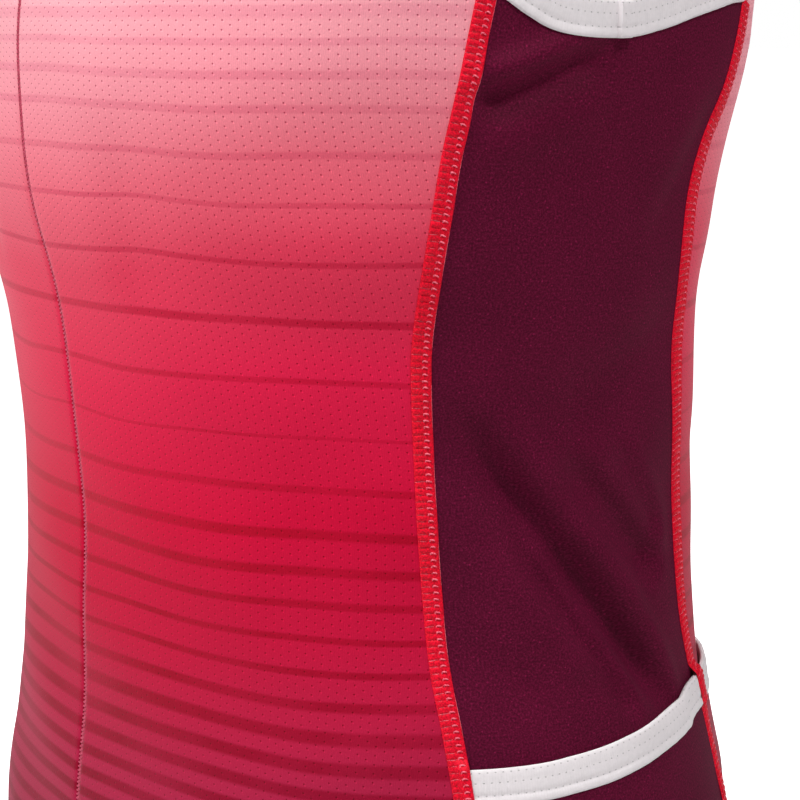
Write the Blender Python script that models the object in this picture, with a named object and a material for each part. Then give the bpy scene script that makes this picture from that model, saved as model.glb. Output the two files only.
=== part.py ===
"""Sleeveless cycling jersey as worn, women's size M to L, with a closed centre zip and three back pockets.

Metres, +Z up. The front faces -Y and the wearer's left is +X. The origin is midway between the two
shoulder straps, where they bear on the shoulders. Every piece of cloth is a patch of one surface, the
body of the garment. A place on it is a row of SECTIONS (a fraction between two rows too) and an angle:
0 is the wearer's left side, -90 the centre front and 90 the centre back. Right-hand pieces are mirrored.
"""

import math

import bmesh
import bpy
import numpy as np

# Walls and gaps
CLOTH = 0.0010
HEM_WALL = 0.0020
HEM_DEPTH = 0.020
HEM_STEP = 0.002
SEAM_GAP = 0.0003
BINDING_WIDTH = 0.011
BINDING_PROUD = 0.0007
BINDING_WALL = 0.0024
POCKET_BINDING_WALL = 0.0022
POCKET_GAPE = 0.0094
CHANNEL_SHIFT = 1.15

# Sections of the body from the tail of the hem to the shoulder: the level, half the width, the depth in
# front and at the back of the side line, and the power of the superellipse. The last row lies past the
# ridge of the shoulder and only shapes the curve over it.
SECTION_COLUMNS = ("level", "half_width", "front", "back", "power")
SECTIONS = np.array([
    (-0.600, 0.184, 0.1200, 0.128, 2.15),
    (-0.560, 0.179, 0.1190, 0.127, 2.15),
    (-0.510, 0.169, 0.1130, 0.121, 2.15),
    (-0.455, 0.156, 0.1080, 0.113, 2.15),
    (-0.400, 0.145, 0.1040, 0.1045, 2.15),
    (-0.350, 0.140, 0.1045, 0.1055, 2.15),
    (-0.300, 0.142, 0.1090, 0.1035, 2.20),
    (-0.255, 0.147, 0.1190, 0.1045, 2.25),
    (-0.210, 0.150, 0.1240, 0.1200, 2.30),
    (-0.165, 0.152, 0.1170, 0.1220, 2.30),
    (-0.120, 0.150, 0.1000, 0.112, 2.30),
    (-0.075, 0.147, 0.0800, 0.108, 2.30),
    (-0.035, 0.145, 0.0580, 0.090, 2.30),
    (-0.010, 0.144, 0.0360, 0.064, 2.30),
    (0.004, 0.144, 0.0140, 0.034, 2.30),
    (0.008, 0.144, -0.0080, 0.008, 2.30),
    (0.004, 0.144, -0.0340, -0.014, 2.30),
])
RIDGE = len(SECTIONS) - 2
RIDGE_LEVEL = SECTIONS[RIDGE, 0]

# Small steps of row and of angle that give the slope of the surface
ROW_STEP = 0.02
ANGLE_STEP = 0.5

# The shoulder falls outwards from the neck: the slope, the distance from the middle where it is neutral,
# and the level below which nothing falls.
SHOULDER_SLOPE = 0.42
SHOULDER_MIDDLE = 0.0983
SLOPE_STARTS = -0.140

# Side seams, as level and angle, from the hem to the armhole
FRONT_SEAM = (
    (-0.620, -20.5), (-0.560, -20.5), (-0.500, -21.2), (-0.450, -22.1), (-0.432, -22.7), (-0.410, -23.9),
    (-0.388, -25.3), (-0.348, -26.0), (-0.308, -26.4), (-0.290, -25.9), (-0.260, -23.1), (-0.236, -20.8),
    (-0.214, -18.4), (-0.186, -16.2),
)
BACK_SEAM = (
    (-0.620, 35.5), (-0.560, 36.0), (-0.500, 36.5), (-0.454, 36.5), (-0.428, 34.8), (-0.410, 31.5),
    (-0.390, 28.3), (-0.370, 26.8), (-0.350, 25.9), (-0.310, 23.4), (-0.280, 22.4), (-0.262, 22.3),
    (-0.238, 23.4), (-0.215, 26.8), (-0.1885, 31.2),
)

# Stitch line of the armhole binding, as level and angle, from the front of the shoulder down, under the
# arm and up to the back of the shoulder. The two corners are where the side seams reach it.
ARMHOLE_FRONT = (
    (RIDGE_LEVEL, -40.2), (-0.010, -42.5), (-0.050, -44.9), (-0.100, -45.5), (-0.137, -40.5),
    (-0.162, -33.0), (-0.1755, -24.0), FRONT_SEAM[-1],
)
ARMHOLE_UNDER = (
    (-0.1940, -10.8), (-0.1990, -6.0), (-0.2006, 1.5), (-0.1980, 8.0), (-0.1940, 15.0), (-0.1902, 24.0),
)
ARMHOLE_BACK = (
    BACK_SEAM[-1], (-0.1825, 37.2), (-0.168, 42.0), (-0.140, 44.5), (-0.100, 45.0), (-0.050, 43.2),
    (-0.010, 41.5), (RIDGE_LEVEL, 40.2),
)

# Stitch line of the neck binding: half an ellipse in front and a flatter one at the back
NECK_HALF_WIDTH = 0.076
NECK_DROP_FRONT = 0.114
NECK_DROP_BACK = 0.064

# Upper edge of the pocket mouths, as angle and level, and how the hem's level changes round the body
MOUTH = ((-90.0, -0.422), (-21.0, -0.422), (-3.0, -0.4205), (7.0, -0.4178), (14.0, -0.4153),
         (23.0, -0.4126), (33.0, -0.4095), (90.0, -0.414))
HEM_SIDE = -0.565
HEM_RISE_FRONT = 0.010
HEM_TAIL = 0.035

# Main folds of the side panel, as troughs between two places: level and angle of each end, the reach to
# each side and the depth
FOLDS = (
    (-0.310, -21.5, -0.414, 20.0, 0.0085, 0.0030),
    (-0.352, -12.0, -0.402, 9.0, 0.0060, 0.0014),
    (-0.332, -4.0, -0.374, 22.0, 0.0070, 0.0018),
    (-0.222, -20.0, -0.208, 0.0, 0.0060, 0.0012),
)

# Grid of the panels
LOWER_STEPS = 6
UPPER_STEPS = 15
FRONT_CHEST_STEPS = 4
FRONT_NECK_STEPS = 8
BACK_CHEST_STEPS = 6
BACK_NECK_STEPS = 8
FRONT_COLUMNS = 9
SIDE_COLUMNS = 12
BACK_COLUMNS = 9
HEM_ROWS = 3

# Zip: half the gap between the fronts, the part of a front that lies over the tape, the coil between
# the front edges, and how far the coil stays back from the face of the cloth
ZIP_HALF_GAP = 0.0010
ZIP_LAP = 0.075
COIL_HALF_WIDTH = 0.0007
COIL_SET_BACK = 0.0002
TAPE_WALL = 0.0010

# Slider, in its own frame: across, up along the zip, and out from the cloth
SLIDER_BELOW_NECK = 0.0075
PLATE_HALF_WIDTH = 0.0033
PLATE_FOOT_HALF_WIDTH = 0.0020
PLATE_HEAD_HALF_WIDTH = 0.0026
PLATE_HALF_LENGTH = 0.0045
PLATE_WIDEST = 0.0016
PLATE_BACK = 0.00045
PLATE_FACE = 0.0018
BRIDGE_HALF_WIDTH = 0.0011
BRIDGE_HALF_LENGTH = 0.0027
BRIDGE_ROOT = 0.0014
BRIDGE_CHAMFER = 0.0007
TUNNEL_HALF_LENGTH = 0.0017
TUNNEL_ROOF = 0.0041
BRIDGE_TOP = 0.0050

# Pull: the bar through the bridge, the two arms, the tab, and how far its foot leans to the cloth
BAR_OUT = 0.0029
BAR_RADIUS = 0.0006
ARM_INNER = 0.0015
ARM_OUTER = 0.0027
ARM_LENGTH = 0.0070
ARM_HALF_WALL = 0.0005
TAB_HALF_WIDTH = 0.0034
TAB_LENGTH = 0.0200
TAB_FOOT_HALF_WIDTH = 0.0026
TAB_CORNER = 0.0010
PULL_LEAN = math.radians(2.5)

# Colours as linear red, green and blue, with roughness and metallic
FINISHES = {
    "knit_print": ((0.60, 0.03, 0.09), 0.75, 0.0),
    "side_tricot": ((0.10, 0.008, 0.03), 0.55, 0.0),
    "white_elastic": ((0.80, 0.76, 0.77), 0.65, 0.0),
    "zip_tape": ((0.62, 0.10, 0.20), 0.70, 0.0),
    "zip_metal": ((0.12, 0.02, 0.05), 0.35, 0.8),
}


def clear_scene():
    for item in list(bpy.data.objects):
        bpy.data.objects.remove(item, do_unlink=True)


def finish(kind):
    """Material of one kind of cloth or metal, made once"""
    if kind in bpy.data.materials:
        return bpy.data.materials[kind]
    colour, roughness, metallic = FINISHES[kind]
    material = bpy.data.materials.new(kind)
    material.use_nodes = True
    shader = material.node_tree.nodes["Principled BSDF"]
    shader.inputs["Base Color"].default_value = (*colour, 1.0)
    shader.inputs["Roughness"].default_value = roughness
    shader.inputs["Metallic"].default_value = metallic
    return material


def add_object(name, points, faces, kind):
    """One closed solid from its points and faces, with the faces turned outwards"""
    mesh = bpy.data.meshes.new(name)
    mesh.from_pydata(np.asarray(points, float).tolist(), [], [tuple(map(int, face)) for face in faces])
    work = bmesh.new()
    work.from_mesh(mesh)
    bmesh.ops.recalc_face_normals(work, faces=work.faces)
    work.to_mesh(mesh)
    work.free()
    mesh.shade_smooth()
    mesh.set_sharp_from_angle(angle=math.radians(40))
    mesh.materials.append(finish(kind))
    item = bpy.data.objects.new(name, mesh)
    bpy.context.scene.collection.objects.link(item)
    return item


def through(values, at):
    """Smooth curve through evenly numbered values, read at fractions of a number"""
    values = np.asarray(values, float)
    at = np.clip(at, 0, len(values) - 1)
    low = np.minimum(at.astype(int), len(values) - 2)
    part = at - low
    before = values[np.maximum(low - 1, 0)]
    start = values[low]
    end = values[low + 1]
    after = values[np.minimum(low + 2, len(values) - 1)]
    slope_in = (end - before) / 2
    slope_out = (after - start) / 2
    cube, square = part ** 3, part ** 2
    return ((2 * cube - 3 * square + 1) * start + (cube - 2 * square + part) * slope_in
            + (3 * square - 2 * cube) * end + (cube - square) * slope_out)


def section(name, row):
    return through(SECTIONS[:, SECTION_COLUMNS.index(name)], np.asarray(row, float))


def row_of(level):
    """Row of SECTIONS that has this level"""
    rows = np.linspace(0, RIDGE, 4001)
    return np.interp(level, section("level", rows), rows)


def smoothstep(value):
    value = np.clip(value, 0, 1)
    return value * value * (3 - 2 * value)


def body(row, angle):
    """Points of the garment's body: a superellipse at each level, with the shoulders falling outwards"""
    row, angle = np.broadcast_arrays(np.asarray(row, float), np.asarray(angle, float))
    turn = np.radians(angle)
    across, along = np.cos(turn), np.sin(turn)
    power = 2 / section("power", row)
    level = section("level", row)
    depth = np.where(along < 0, -section("front", row), section("back", row))
    x = section("half_width", row) * np.sign(across) * np.abs(across) ** power
    y = depth * np.abs(along) ** power
    fall = smoothstep((level - SLOPE_STARTS) / (RIDGE_LEVEL - SLOPE_STARTS))
    z = level - SHOULDER_SLOPE * (np.abs(x) - SHOULDER_MIDDLE) * fall
    return np.stack([x, y, z], axis=-1)


def slopes(row, angle):
    """Steps of the surface for one row and for one degree"""
    below = np.minimum(row, ROW_STEP)
    by_row = (body(row + ROW_STEP, angle) - body(row - below, angle)) / (ROW_STEP + below)[..., None]
    by_angle = (body(row, angle + ANGLE_STEP) - body(row, angle - ANGLE_STEP)) / (2 * ANGLE_STEP)
    return by_row, by_angle


def unit(vectors):
    return vectors / np.linalg.norm(vectors, axis=-1, keepdims=True)


def fold_depth(points):
    """Depth of the folds at points of the body: a soft trough about each fold's line, fading at its ends"""
    mirrored = points * np.where(points[..., :1] < 0, (-1.0, 1.0, 1.0), (1.0, 1.0, 1.0))
    depth = np.zeros(points.shape[:-1])
    for level_a, angle_a, level_b, angle_b, reach, deep in FOLDS:
        part = np.linspace(0, 1, 15)
        line = body(row_of(level_a + (level_b - level_a) * part), angle_a + (angle_b - angle_a) * part)
        away = np.linalg.norm(mirrored[..., None, :] - line, axis=-1)
        fade = np.sin(np.pi * np.clip(part, 0.06, 0.94)) ** 0.5
        depth += deep * np.max(fade * np.exp(-(away / reach) ** 2), axis=-1)
    return depth


def skin(row, angle, out):
    """Points that stand out from the folded body by the given distance"""
    row, angle = np.broadcast_arrays(np.asarray(row, float), np.asarray(angle, float))
    points = body(row, angle)
    by_row, by_angle = slopes(row, angle)
    outward = unit(np.cross(by_angle, by_row))
    return points + outward * (np.asarray(out, float) - fold_depth(points))[..., None]


def mix(start, end, part):
    return start + (end - start) * part


def seam_angle(seam, level):
    levels, angles = zip(*seam)
    return np.interp(level, levels, angles)


def gap_angle(level, angle):
    """Half a seam gap, in degrees round the body"""
    _, by_angle = slopes(row_of(level), np.asarray(angle, float))
    return SEAM_GAP / 2 / np.linalg.norm(by_angle, axis=-1)


def hem_level(angle):
    turn = np.sin(np.radians(angle))
    return HEM_SIDE - np.where(turn < 0, HEM_RISE_FRONT, HEM_TAIL) * turn ** 2


def mouth_level(angle):
    angles, levels = zip(*MOUTH)
    return np.interp(angle, angles, levels)


def across_angle(distance, row):
    """Angle on the front at this distance from the centre"""
    part = (distance / section("half_width", row)) ** (section("power", row) / 2)
    return -np.degrees(np.arccos(part))


def evenly(places, count):
    """The same line of places, divided into equal lengths"""
    rows, angles = places
    points = body(rows, angles)
    run = np.concatenate([[0], np.cumsum(np.linalg.norm(np.diff(points, axis=0), axis=1))])
    at = np.linspace(0, run[-1], count + 1)
    return np.interp(at, run, rows), np.interp(at, run, angles)


def armhole_lines():
    """Fine lines of the armhole: down the front, under the arm and up the back"""
    table = ARMHOLE_FRONT + ARMHOLE_UNDER + ARMHOLE_BACK
    rows = row_of(np.array([level for level, _ in table]))
    angles = np.array([angle for _, angle in table])
    corner_front = len(ARMHOLE_FRONT) - 1
    corner_back = corner_front + len(ARMHOLE_UNDER) + 1
    lines = []
    for start, end in ((0, corner_front), (corner_front, corner_back), (corner_back, len(table) - 1)):
        at = np.linspace(start, end, 40 * (end - start) + 1)
        lines.append((through(rows, at), through(angles, at)))
    return lines


def neck_line(drop, back):
    """Fine line of the neck from the centre to the shoulder, a quarter of an ellipse in width and level"""
    rows = np.linspace(row_of(RIDGE_LEVEL - drop), RIDGE, 400)
    fall = (RIDGE_LEVEL - section("level", rows)) / drop
    start = 0.0 if back else ZIP_HALF_GAP
    distance = np.maximum(NECK_HALF_WIDTH * np.sqrt(np.clip(1 - fall ** 2, 0, 1)), start)
    angles = across_angle(distance, rows)
    return rows, -angles if back else angles


def body_rows(hem, mouth, top):
    """Levels of the rows from the hem to the underarm, for each column"""
    rows = [hem, hem + HEM_DEPTH, hem + HEM_DEPTH + HEM_STEP]
    pocket_top = mouth - BINDING_WIDTH
    for step in range(1, LOWER_STEPS + 1):
        rows.append(mix(rows[HEM_ROWS - 1], pocket_top, step / LOWER_STEPS))
    for step in range(UPPER_STEPS + 1):
        rows.append(mix(mouth, top, step / UPPER_STEPS))
    return np.array(rows)


POCKET_TOP_ROW = HEM_ROWS - 1 + LOWER_STEPS
MOUTH_ROW = POCKET_TOP_ROW + 1
UNDERARM_ROW = MOUTH_ROW + UPPER_STEPS


def wall_depth(row_count):
    """How far each row's inner face lies behind its outer face: the turned hem is thicker"""
    depth = np.full(row_count, CLOTH)
    depth[:2] = HEM_WALL
    return depth


def front_places():
    """Rows and angles of the left front, from the zip edge to the side"""
    across = np.concatenate([[0], np.linspace(ZIP_LAP, 1, FRONT_COLUMNS)])
    corner_level, _ = FRONT_SEAM[-1]
    at_hem = mix(-90, seam_angle(FRONT_SEAM, HEM_SIDE), across)
    at_mouth = mix(-90, seam_angle(FRONT_SEAM, MOUTH[1][1]), across)
    levels = body_rows(hem_level(at_hem), mouth_level(at_mouth), np.full(len(across), corner_level))
    rows = row_of(levels)
    outer = seam_angle(FRONT_SEAM, levels)
    outer = outer - gap_angle(levels, outer)
    angles = mix(across_angle(ZIP_HALF_GAP, rows), outer, across)
    chest = np.linspace(row_of(corner_level), row_of(RIDGE_LEVEL - NECK_DROP_FRONT), 100)
    chest_rows, chest_angles = evenly((chest, across_angle(ZIP_HALF_GAP, chest)), FRONT_CHEST_STEPS)
    neck_rows, neck_angles = evenly(neck_line(NECK_DROP_FRONT, False), FRONT_NECK_STEPS)
    inner_rows = np.concatenate([chest_rows[1:], neck_rows[1:]])
    inner_angles = np.concatenate([chest_angles[1:], neck_angles[1:]])
    arm_rows, arm_angles = evenly(armhole_lines()[0], FRONT_CHEST_STEPS + FRONT_NECK_STEPS)
    upper_rows = mix(inner_rows[:, None], arm_rows[::-1][1:, None], across)
    upper_angles = mix(inner_angles[:, None], arm_angles[::-1][1:, None], across)
    return np.concatenate([rows, upper_rows]), np.concatenate([angles, upper_angles])


def back_places():
    """Rows and angles of the left half of the back, from the side to the centre"""
    across = np.linspace(0, 1, BACK_COLUMNS + 1)
    corner_level, _ = BACK_SEAM[-1]
    at_hem = mix(seam_angle(BACK_SEAM, HEM_SIDE), 90, across)
    at_mouth = mix(seam_angle(BACK_SEAM, MOUTH[-1][1]), 90, across)
    levels = body_rows(hem_level(at_hem), mouth_level(at_mouth), np.full(len(across), corner_level))
    rows = row_of(levels)
    outer = seam_angle(BACK_SEAM, levels)
    outer = outer + gap_angle(levels, outer)
    angles = mix(outer, 90, across)
    chest = np.linspace(row_of(corner_level), row_of(RIDGE_LEVEL - NECK_DROP_BACK), 100)
    chest_rows, chest_angles = evenly((chest, np.full(100, 90.0)), BACK_CHEST_STEPS)
    neck_rows, neck_angles = evenly(neck_line(NECK_DROP_BACK, True), BACK_NECK_STEPS)
    inner_rows = np.concatenate([chest_rows[1:], neck_rows[1:]])
    inner_angles = np.concatenate([chest_angles[1:], neck_angles[1:]])
    arm_rows, arm_angles = evenly(armhole_lines()[2], BACK_CHEST_STEPS + BACK_NECK_STEPS)
    upper_rows = mix(arm_rows[1:, None], inner_rows[:, None], across)
    upper_angles = mix(arm_angles[1:, None], inner_angles[:, None], across)
    return np.concatenate([rows, upper_rows]), np.concatenate([angles, upper_angles])


def side_places():
    """Rows and angles of the left side panel, from the front seam to the back seam"""
    arm_rows, arm_angles = evenly(armhole_lines()[1], SIDE_COLUMNS)
    across = (arm_angles - arm_angles[0]) / (arm_angles[-1] - arm_angles[0])

    def between(level):
        front = seam_angle(FRONT_SEAM, level)
        back = seam_angle(BACK_SEAM, level)
        return mix(front + gap_angle(level, front), back - gap_angle(level, back), across)

    hem = hem_level(mix(seam_angle(FRONT_SEAM, HEM_SIDE), seam_angle(BACK_SEAM, HEM_SIDE), across))
    front_mouth = seam_angle(FRONT_SEAM, MOUTH[1][1])
    back_mouth = seam_angle(BACK_SEAM, MOUTH[-1][1])
    mouth = mouth_level(mix(front_mouth, back_mouth, across))
    levels = body_rows(hem, mouth, section("level", arm_rows))
    angles = between(levels)
    angles[-1, 1:-1] = arm_angles[1:-1]
    return row_of(levels), angles


def grid_faces(row_count, column_count):
    """Triangles of a grid of points numbered row by row, split alike so that layers stay parallel"""
    row, column = np.meshgrid(np.arange(row_count - 1), np.arange(column_count - 1), indexing="ij")
    first = (row * column_count + column).ravel()
    across = first + 1 + column_count
    lower = np.stack([first, first + 1, across], axis=1)
    upper = np.stack([first, across, first + column_count], axis=1)
    return np.concatenate([lower, upper])


def add_wall(name, outer, inner, faces, kind):
    """Closed wall of cloth between an outer and an inner sheet that share their faces"""
    count = len(outer)
    edges = np.concatenate([np.stack([faces[:, side], faces[:, (side + 1) % 3]], axis=1) for side in range(3)])
    known = {tuple(edge) for edge in edges.tolist()}
    rim = [edge for edge in edges.tolist() if (edge[1], edge[0]) not in known]
    walls = [(end, start, start + count, end + count) for start, end in rim]
    all_faces = faces.tolist() + (faces[:, ::-1] + count).tolist() + walls
    return add_object(name, np.concatenate([outer, inner]), all_faces, kind)


MIRROR = np.array([-1.0, 1.0, 1.0])


def add_panel(name, places, out, depth, kind, mirrored):
    """One panel: a grid of places, how far its outer face stands out, and its wall's depth in each row"""
    rows, angles = places
    outer = skin(rows, angles, out)
    inner = skin(rows, angles, out - np.broadcast_to(depth, rows.shape))
    faces = grid_faces(*rows.shape)
    if mirrored:
        outer, inner, faces = outer * MIRROR, inner * MIRROR, faces[:, ::-1]
    return add_wall(name, outer.reshape(-1, 3), inner.reshape(-1, 3), faces, kind)


def open_shoulder(places):
    """Draw the top row back from the shoulder seam by half a seam gap"""
    rows, angles = places
    by_row, _ = slopes(rows[-1], angles[-1])
    rows = rows.copy()
    rows[-1] -= SEAM_GAP / 2 / np.linalg.norm(by_row, axis=-1)
    return rows, angles


def make_fronts_and_sides():
    front = open_shoulder(front_places())
    side = side_places()
    for suffix, mirrored in (("left", False), ("right", True)):
        depth = wall_depth(len(front[0]))[:, None]
        add_panel(f"front_{suffix}", front, 0.0, depth, "knit_print", mirrored)
        add_panel(f"side_{suffix}", side, 0.0, wall_depth(len(side[0]))[:, None], "side_tricot", mirrored)


def both_halves(places, out, depth):
    """Outer and inner points and faces of a piece that crosses the centre back, as two joined halves"""
    rows, angles = places
    outer = skin(rows, angles, out).reshape(-1, 3)
    inner = skin(rows, angles, out - np.broadcast_to(depth, rows.shape)).reshape(-1, 3)
    faces = grid_faces(*rows.shape)
    outer = np.concatenate([outer, outer * MIRROR])
    inner = np.concatenate([inner, inner * MIRROR])
    faces = np.concatenate([faces, faces[:, ::-1] + rows.size])
    _, first, number = np.unique(np.round(outer, 6) + 0.0, axis=0, return_index=True, return_inverse=True)
    return outer[first], inner[first], number.ravel()[faces]


def make_back():
    places = open_shoulder(back_places())
    outer, inner, faces = both_halves(places, np.zeros(places[0].shape), wall_depth(len(places[0]))[:, None])
    add_wall("back", outer, inner, faces, "knit_print")


def back_pocket_gap(share):
    """Gap behind the back pocket in each column, closed at the seams and at both channels; share goes from
    nothing at the bottom to 1 at the mouth"""
    across = np.linspace(0, 1, BACK_COLUMNS + 1) ** CHANNEL_SHIFT
    return SEAM_GAP + POCKET_GAPE * np.sin(1.5 * np.pi * across) ** 2 * smoothstep(share)


def pocket_places(places):
    """Rows of a panel from above the hem to just under the binding of the pocket mouth"""
    rows, angles = (part[HEM_ROWS - 1:POCKET_TOP_ROW + 1].copy() for part in places)
    by_row, _ = slopes(rows[-1], angles[-1])
    rows[-1] -= SEAM_GAP / np.linalg.norm(by_row, axis=-1)
    return rows, angles


def make_pockets():
    side = pocket_places(side_places())
    for suffix, mirrored in (("left", False), ("right", True)):
        add_panel(f"pocket_side_{suffix}", side, SEAM_GAP + CLOTH, CLOTH, "side_tricot", mirrored)
    back = pocket_places(back_places())
    share = np.linspace(0, 1, len(back[0]))[:, None]
    out = back_pocket_gap(share) + CLOTH
    outer, inner, faces = both_halves(back, out, CLOTH)
    add_wall("pocket_back", outer, inner, faces, "knit_print")


def carried(profiles, closed):
    """Faces of a profile carried along a path of points, capped at the ends or closed to a ring"""
    length, around = profiles.shape[:2]
    faces = []
    for step in range(length if closed else length - 1):
        here, there = step * around, (step + 1) % length * around
        for corner in range(around):
            beside = (corner + 1) % around
            faces.append((here + corner, here + beside, there + corner))
            faces.append((here + beside, there + beside, there + corner))
    if not closed:
        faces.append(tuple(range(around)))
        faces.append(tuple(range((length - 1) * around, length * around)))
    return faces


def shifted(rows, angles, points, distance, closed):
    """Places moved square to a line, within the surface, to the left of its direction seen from outside"""
    if closed:
        ahead, behind = np.roll(points, -1, axis=0), np.roll(points, 1, axis=0)
    else:
        ahead = np.concatenate([points[1:], points[-1:]])
        behind = np.concatenate([points[:1], points[:-1]])
    by_row, by_angle = slopes(rows, angles)
    outward = unit(np.cross(by_angle, by_row))
    aside = unit(np.cross(outward, unit(ahead - behind))) * distance
    rr, aa = np.sum(by_row * by_row, -1), np.sum(by_angle * by_angle, -1)
    ra = np.sum(by_row * by_angle, -1)
    r, a = np.sum(by_row * aside, -1), np.sum(by_angle * aside, -1)
    area = rr * aa - ra * ra
    return rows + (r * aa - a * ra) / area, angles + (a * rr - r * ra) / area


def binding_profile():
    """Section of a folded elastic on an edge: distance past the stitch line, and distance out"""
    face, back = BINDING_PROUD, BINDING_PROUD - BINDING_WALL
    return ((SEAM_GAP, back + 0.0003), (SEAM_GAP, face - 0.0003), (0.0020, face), (BINDING_WIDTH - 0.0012, face),
            (BINDING_WIDTH, face - 0.0009), (BINDING_WIDTH, back + 0.0009), (BINDING_WIDTH - 0.0012, back),
            (0.0020, back))


def edge_binding(rows, angles, closed):
    """Points of a folded elastic along an edge"""
    points = body(rows, angles)
    rings = []
    for distance, out in binding_profile():
        moved_rows, moved_angles = shifted(rows, angles, points, distance, closed)
        rings.append(skin(moved_rows, moved_angles, out))
    return np.stack(rings, axis=1)


def make_armhole_bindings():
    front, under, back = armhole_lines()
    stretches = (
        evenly(front, FRONT_CHEST_STEPS + FRONT_NECK_STEPS),
        evenly(under, SIDE_COLUMNS),
        evenly(back, BACK_CHEST_STEPS + BACK_NECK_STEPS),
    )
    rows = np.concatenate([part[0][:-1] for part in stretches])
    angles = np.concatenate([part[1][:-1] for part in stretches])
    rings = edge_binding(rows, angles, True)
    for suffix, side in (("left", 1.0), ("right", -1.0)):
        points = (rings * (side, 1.0, 1.0)).reshape(-1, 3)
        add_object(f"binding_armhole_{suffix}", points, carried(rings, True), "white_elastic")


def make_neck_binding():
    front = evenly(neck_line(NECK_DROP_FRONT, False), FRONT_NECK_STEPS)
    back = evenly(neck_line(NECK_DROP_BACK, True), BACK_NECK_STEPS)
    rows = np.concatenate([front[0], back[0][::-1][1:]])
    angles = np.concatenate([front[1], back[1][::-1][1:]])
    left = edge_binding(rows, angles, False)
    left[-1, :, 0] = 0.0
    rings = np.concatenate([left, left[-2::-1] * MIRROR])
    add_object("binding_neck", rings.reshape(-1, 3), carried(rings, False), "white_elastic")


def pocket_binding(places, gap):
    """Points of a folded elastic over a pocket mouth, from the rows of its panel"""
    rows, angles = places
    low, high = rows[POCKET_TOP_ROW], rows[MOUTH_ROW]
    angle_low, angle_high = angles[POCKET_TOP_ROW], angles[MOUTH_ROW]
    wall = POCKET_BINDING_WALL
    profile = ((0.0, 0.0), (0.0, wall - 0.0003), (0.15, wall), (0.90, wall), (1.0, wall - 0.0007), (1.0, 0.0))
    rings = [skin(mix(low, high, part), mix(angle_low, angle_high, part), gap + out) for part, out in profile]
    return np.stack(rings, axis=1)


def make_pocket_bindings():
    rings = pocket_binding(side_places(), SEAM_GAP)
    for suffix, side in (("left", 1.0), ("right", -1.0)):
        points = (rings * (side, 1.0, 1.0)).reshape(-1, 3)
        add_object(f"binding_pocket_side_{suffix}", points, carried(rings, False), "white_elastic")
    left = pocket_binding(back_places(), back_pocket_gap(1.0))
    left[-1, :, 0] = 0.0
    rings = np.concatenate([left, left[-2::-1] * MIRROR])
    add_object("binding_pocket_back", rings.reshape(-1, 3), carried(rings, False), "white_elastic")


def make_zip_tape():
    """Tape behind both front edges, with the coil as a ridge between them"""
    rows, angles = (part[:UNDERARM_ROW + FRONT_CHEST_STEPS + 1] for part in front_places())
    face = -wall_depth(len(rows)) - SEAM_GAP
    lap = rows[:, 1], angles[:, 1]
    coil = rows[:, 0], across_angle(COIL_HALF_WIDTH, rows[:, 0])
    left = [
        skin(*lap, face - TAPE_WALL),
        skin(*lap, face),
        skin(*coil, face),
        skin(*coil, np.full(len(rows), -COIL_SET_BACK)),
    ]
    right = [ring * MIRROR for ring in reversed(left)]
    rings = np.stack(left + right, axis=1)
    add_object("zip_tape", rings.reshape(-1, 3), carried(rings, False), "zip_tape")


def slider_frame():
    """Where the slider sits on the cloth, and its directions up along the zip and out from it"""
    row = row_of(RIDGE_LEVEL - NECK_DROP_FRONT - SLIDER_BELOW_NECK)
    seat = skin(np.array([row]), np.array([-90.0]), 0.0)[0]
    above = skin(np.array([row + 0.05]), np.array([-90.0]), 0.0)[0]
    along = unit(above - seat)
    outward = np.cross((1.0, 0.0, 0.0), along)
    return seat, along, outward


def in_slider_frame(points):
    """Points given as across, up the zip and out from the cloth, in the garment's own frame"""
    seat, along, outward = slider_frame()
    points = np.asarray(points, float)
    return seat + points[:, :1] * (1.0, 0.0, 0.0) + points[:, 1:2] * along + points[:, 2:] * outward


def prism(outline, low, high, axis):
    """Points and faces of an outline of two coordinates carried between two values of a third one"""
    points = []
    for value in (low, high):
        for pair in outline:
            point = list(pair)
            point.insert(axis, value)
            points.append(point)
    count = len(outline)
    faces = [tuple(range(count)), tuple(range(count, 2 * count))]
    faces += [(i, (i + 1) % count, (i + 1) % count + count, i + count) for i in range(count)]
    return points, faces


def combine(item, tool, operation):
    """Join a hidden tool to a solid, or cut it from the solid"""
    tool.hide_render = True
    tool.display_type = "WIRE"
    modifier = item.modifiers.new(operation.lower(), "BOOLEAN")
    modifier.operation = operation
    modifier.solver = "EXACT"
    modifier.object = tool


def make_slider():
    """Shield-shaped plate, an outline seen from the front, joined to a bridge, an outline seen from the side"""
    half = ((PLATE_FOOT_HALF_WIDTH, -PLATE_HALF_LENGTH), (PLATE_HALF_WIDTH, PLATE_WIDEST),
            (PLATE_HEAD_HALF_WIDTH, PLATE_HALF_LENGTH))
    shield = list(half) + [(-x, y) for x, y in reversed(half)]
    arm = ((TUNNEL_HALF_LENGTH, TUNNEL_ROOF), (TUNNEL_HALF_LENGTH, BRIDGE_ROOT), (BRIDGE_HALF_LENGTH, BRIDGE_ROOT),
           (BRIDGE_HALF_LENGTH, BRIDGE_TOP - BRIDGE_CHAMFER), (BRIDGE_HALF_LENGTH - BRIDGE_CHAMFER, BRIDGE_TOP))
    arch = list(arm) + [(-y, z) for y, z in reversed(arm)]
    plate, plate_faces = prism(shield, PLATE_BACK, PLATE_FACE, 2)
    bridge, bridge_faces = prism(arch, -BRIDGE_HALF_WIDTH, BRIDGE_HALF_WIDTH, 0)
    slider = add_object("zip_slider", in_slider_frame(plate), plate_faces, "zip_metal")
    added = add_object("bridge_tool", in_slider_frame(bridge), bridge_faces, "zip_metal")
    combine(slider, added, "UNION")


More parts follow.
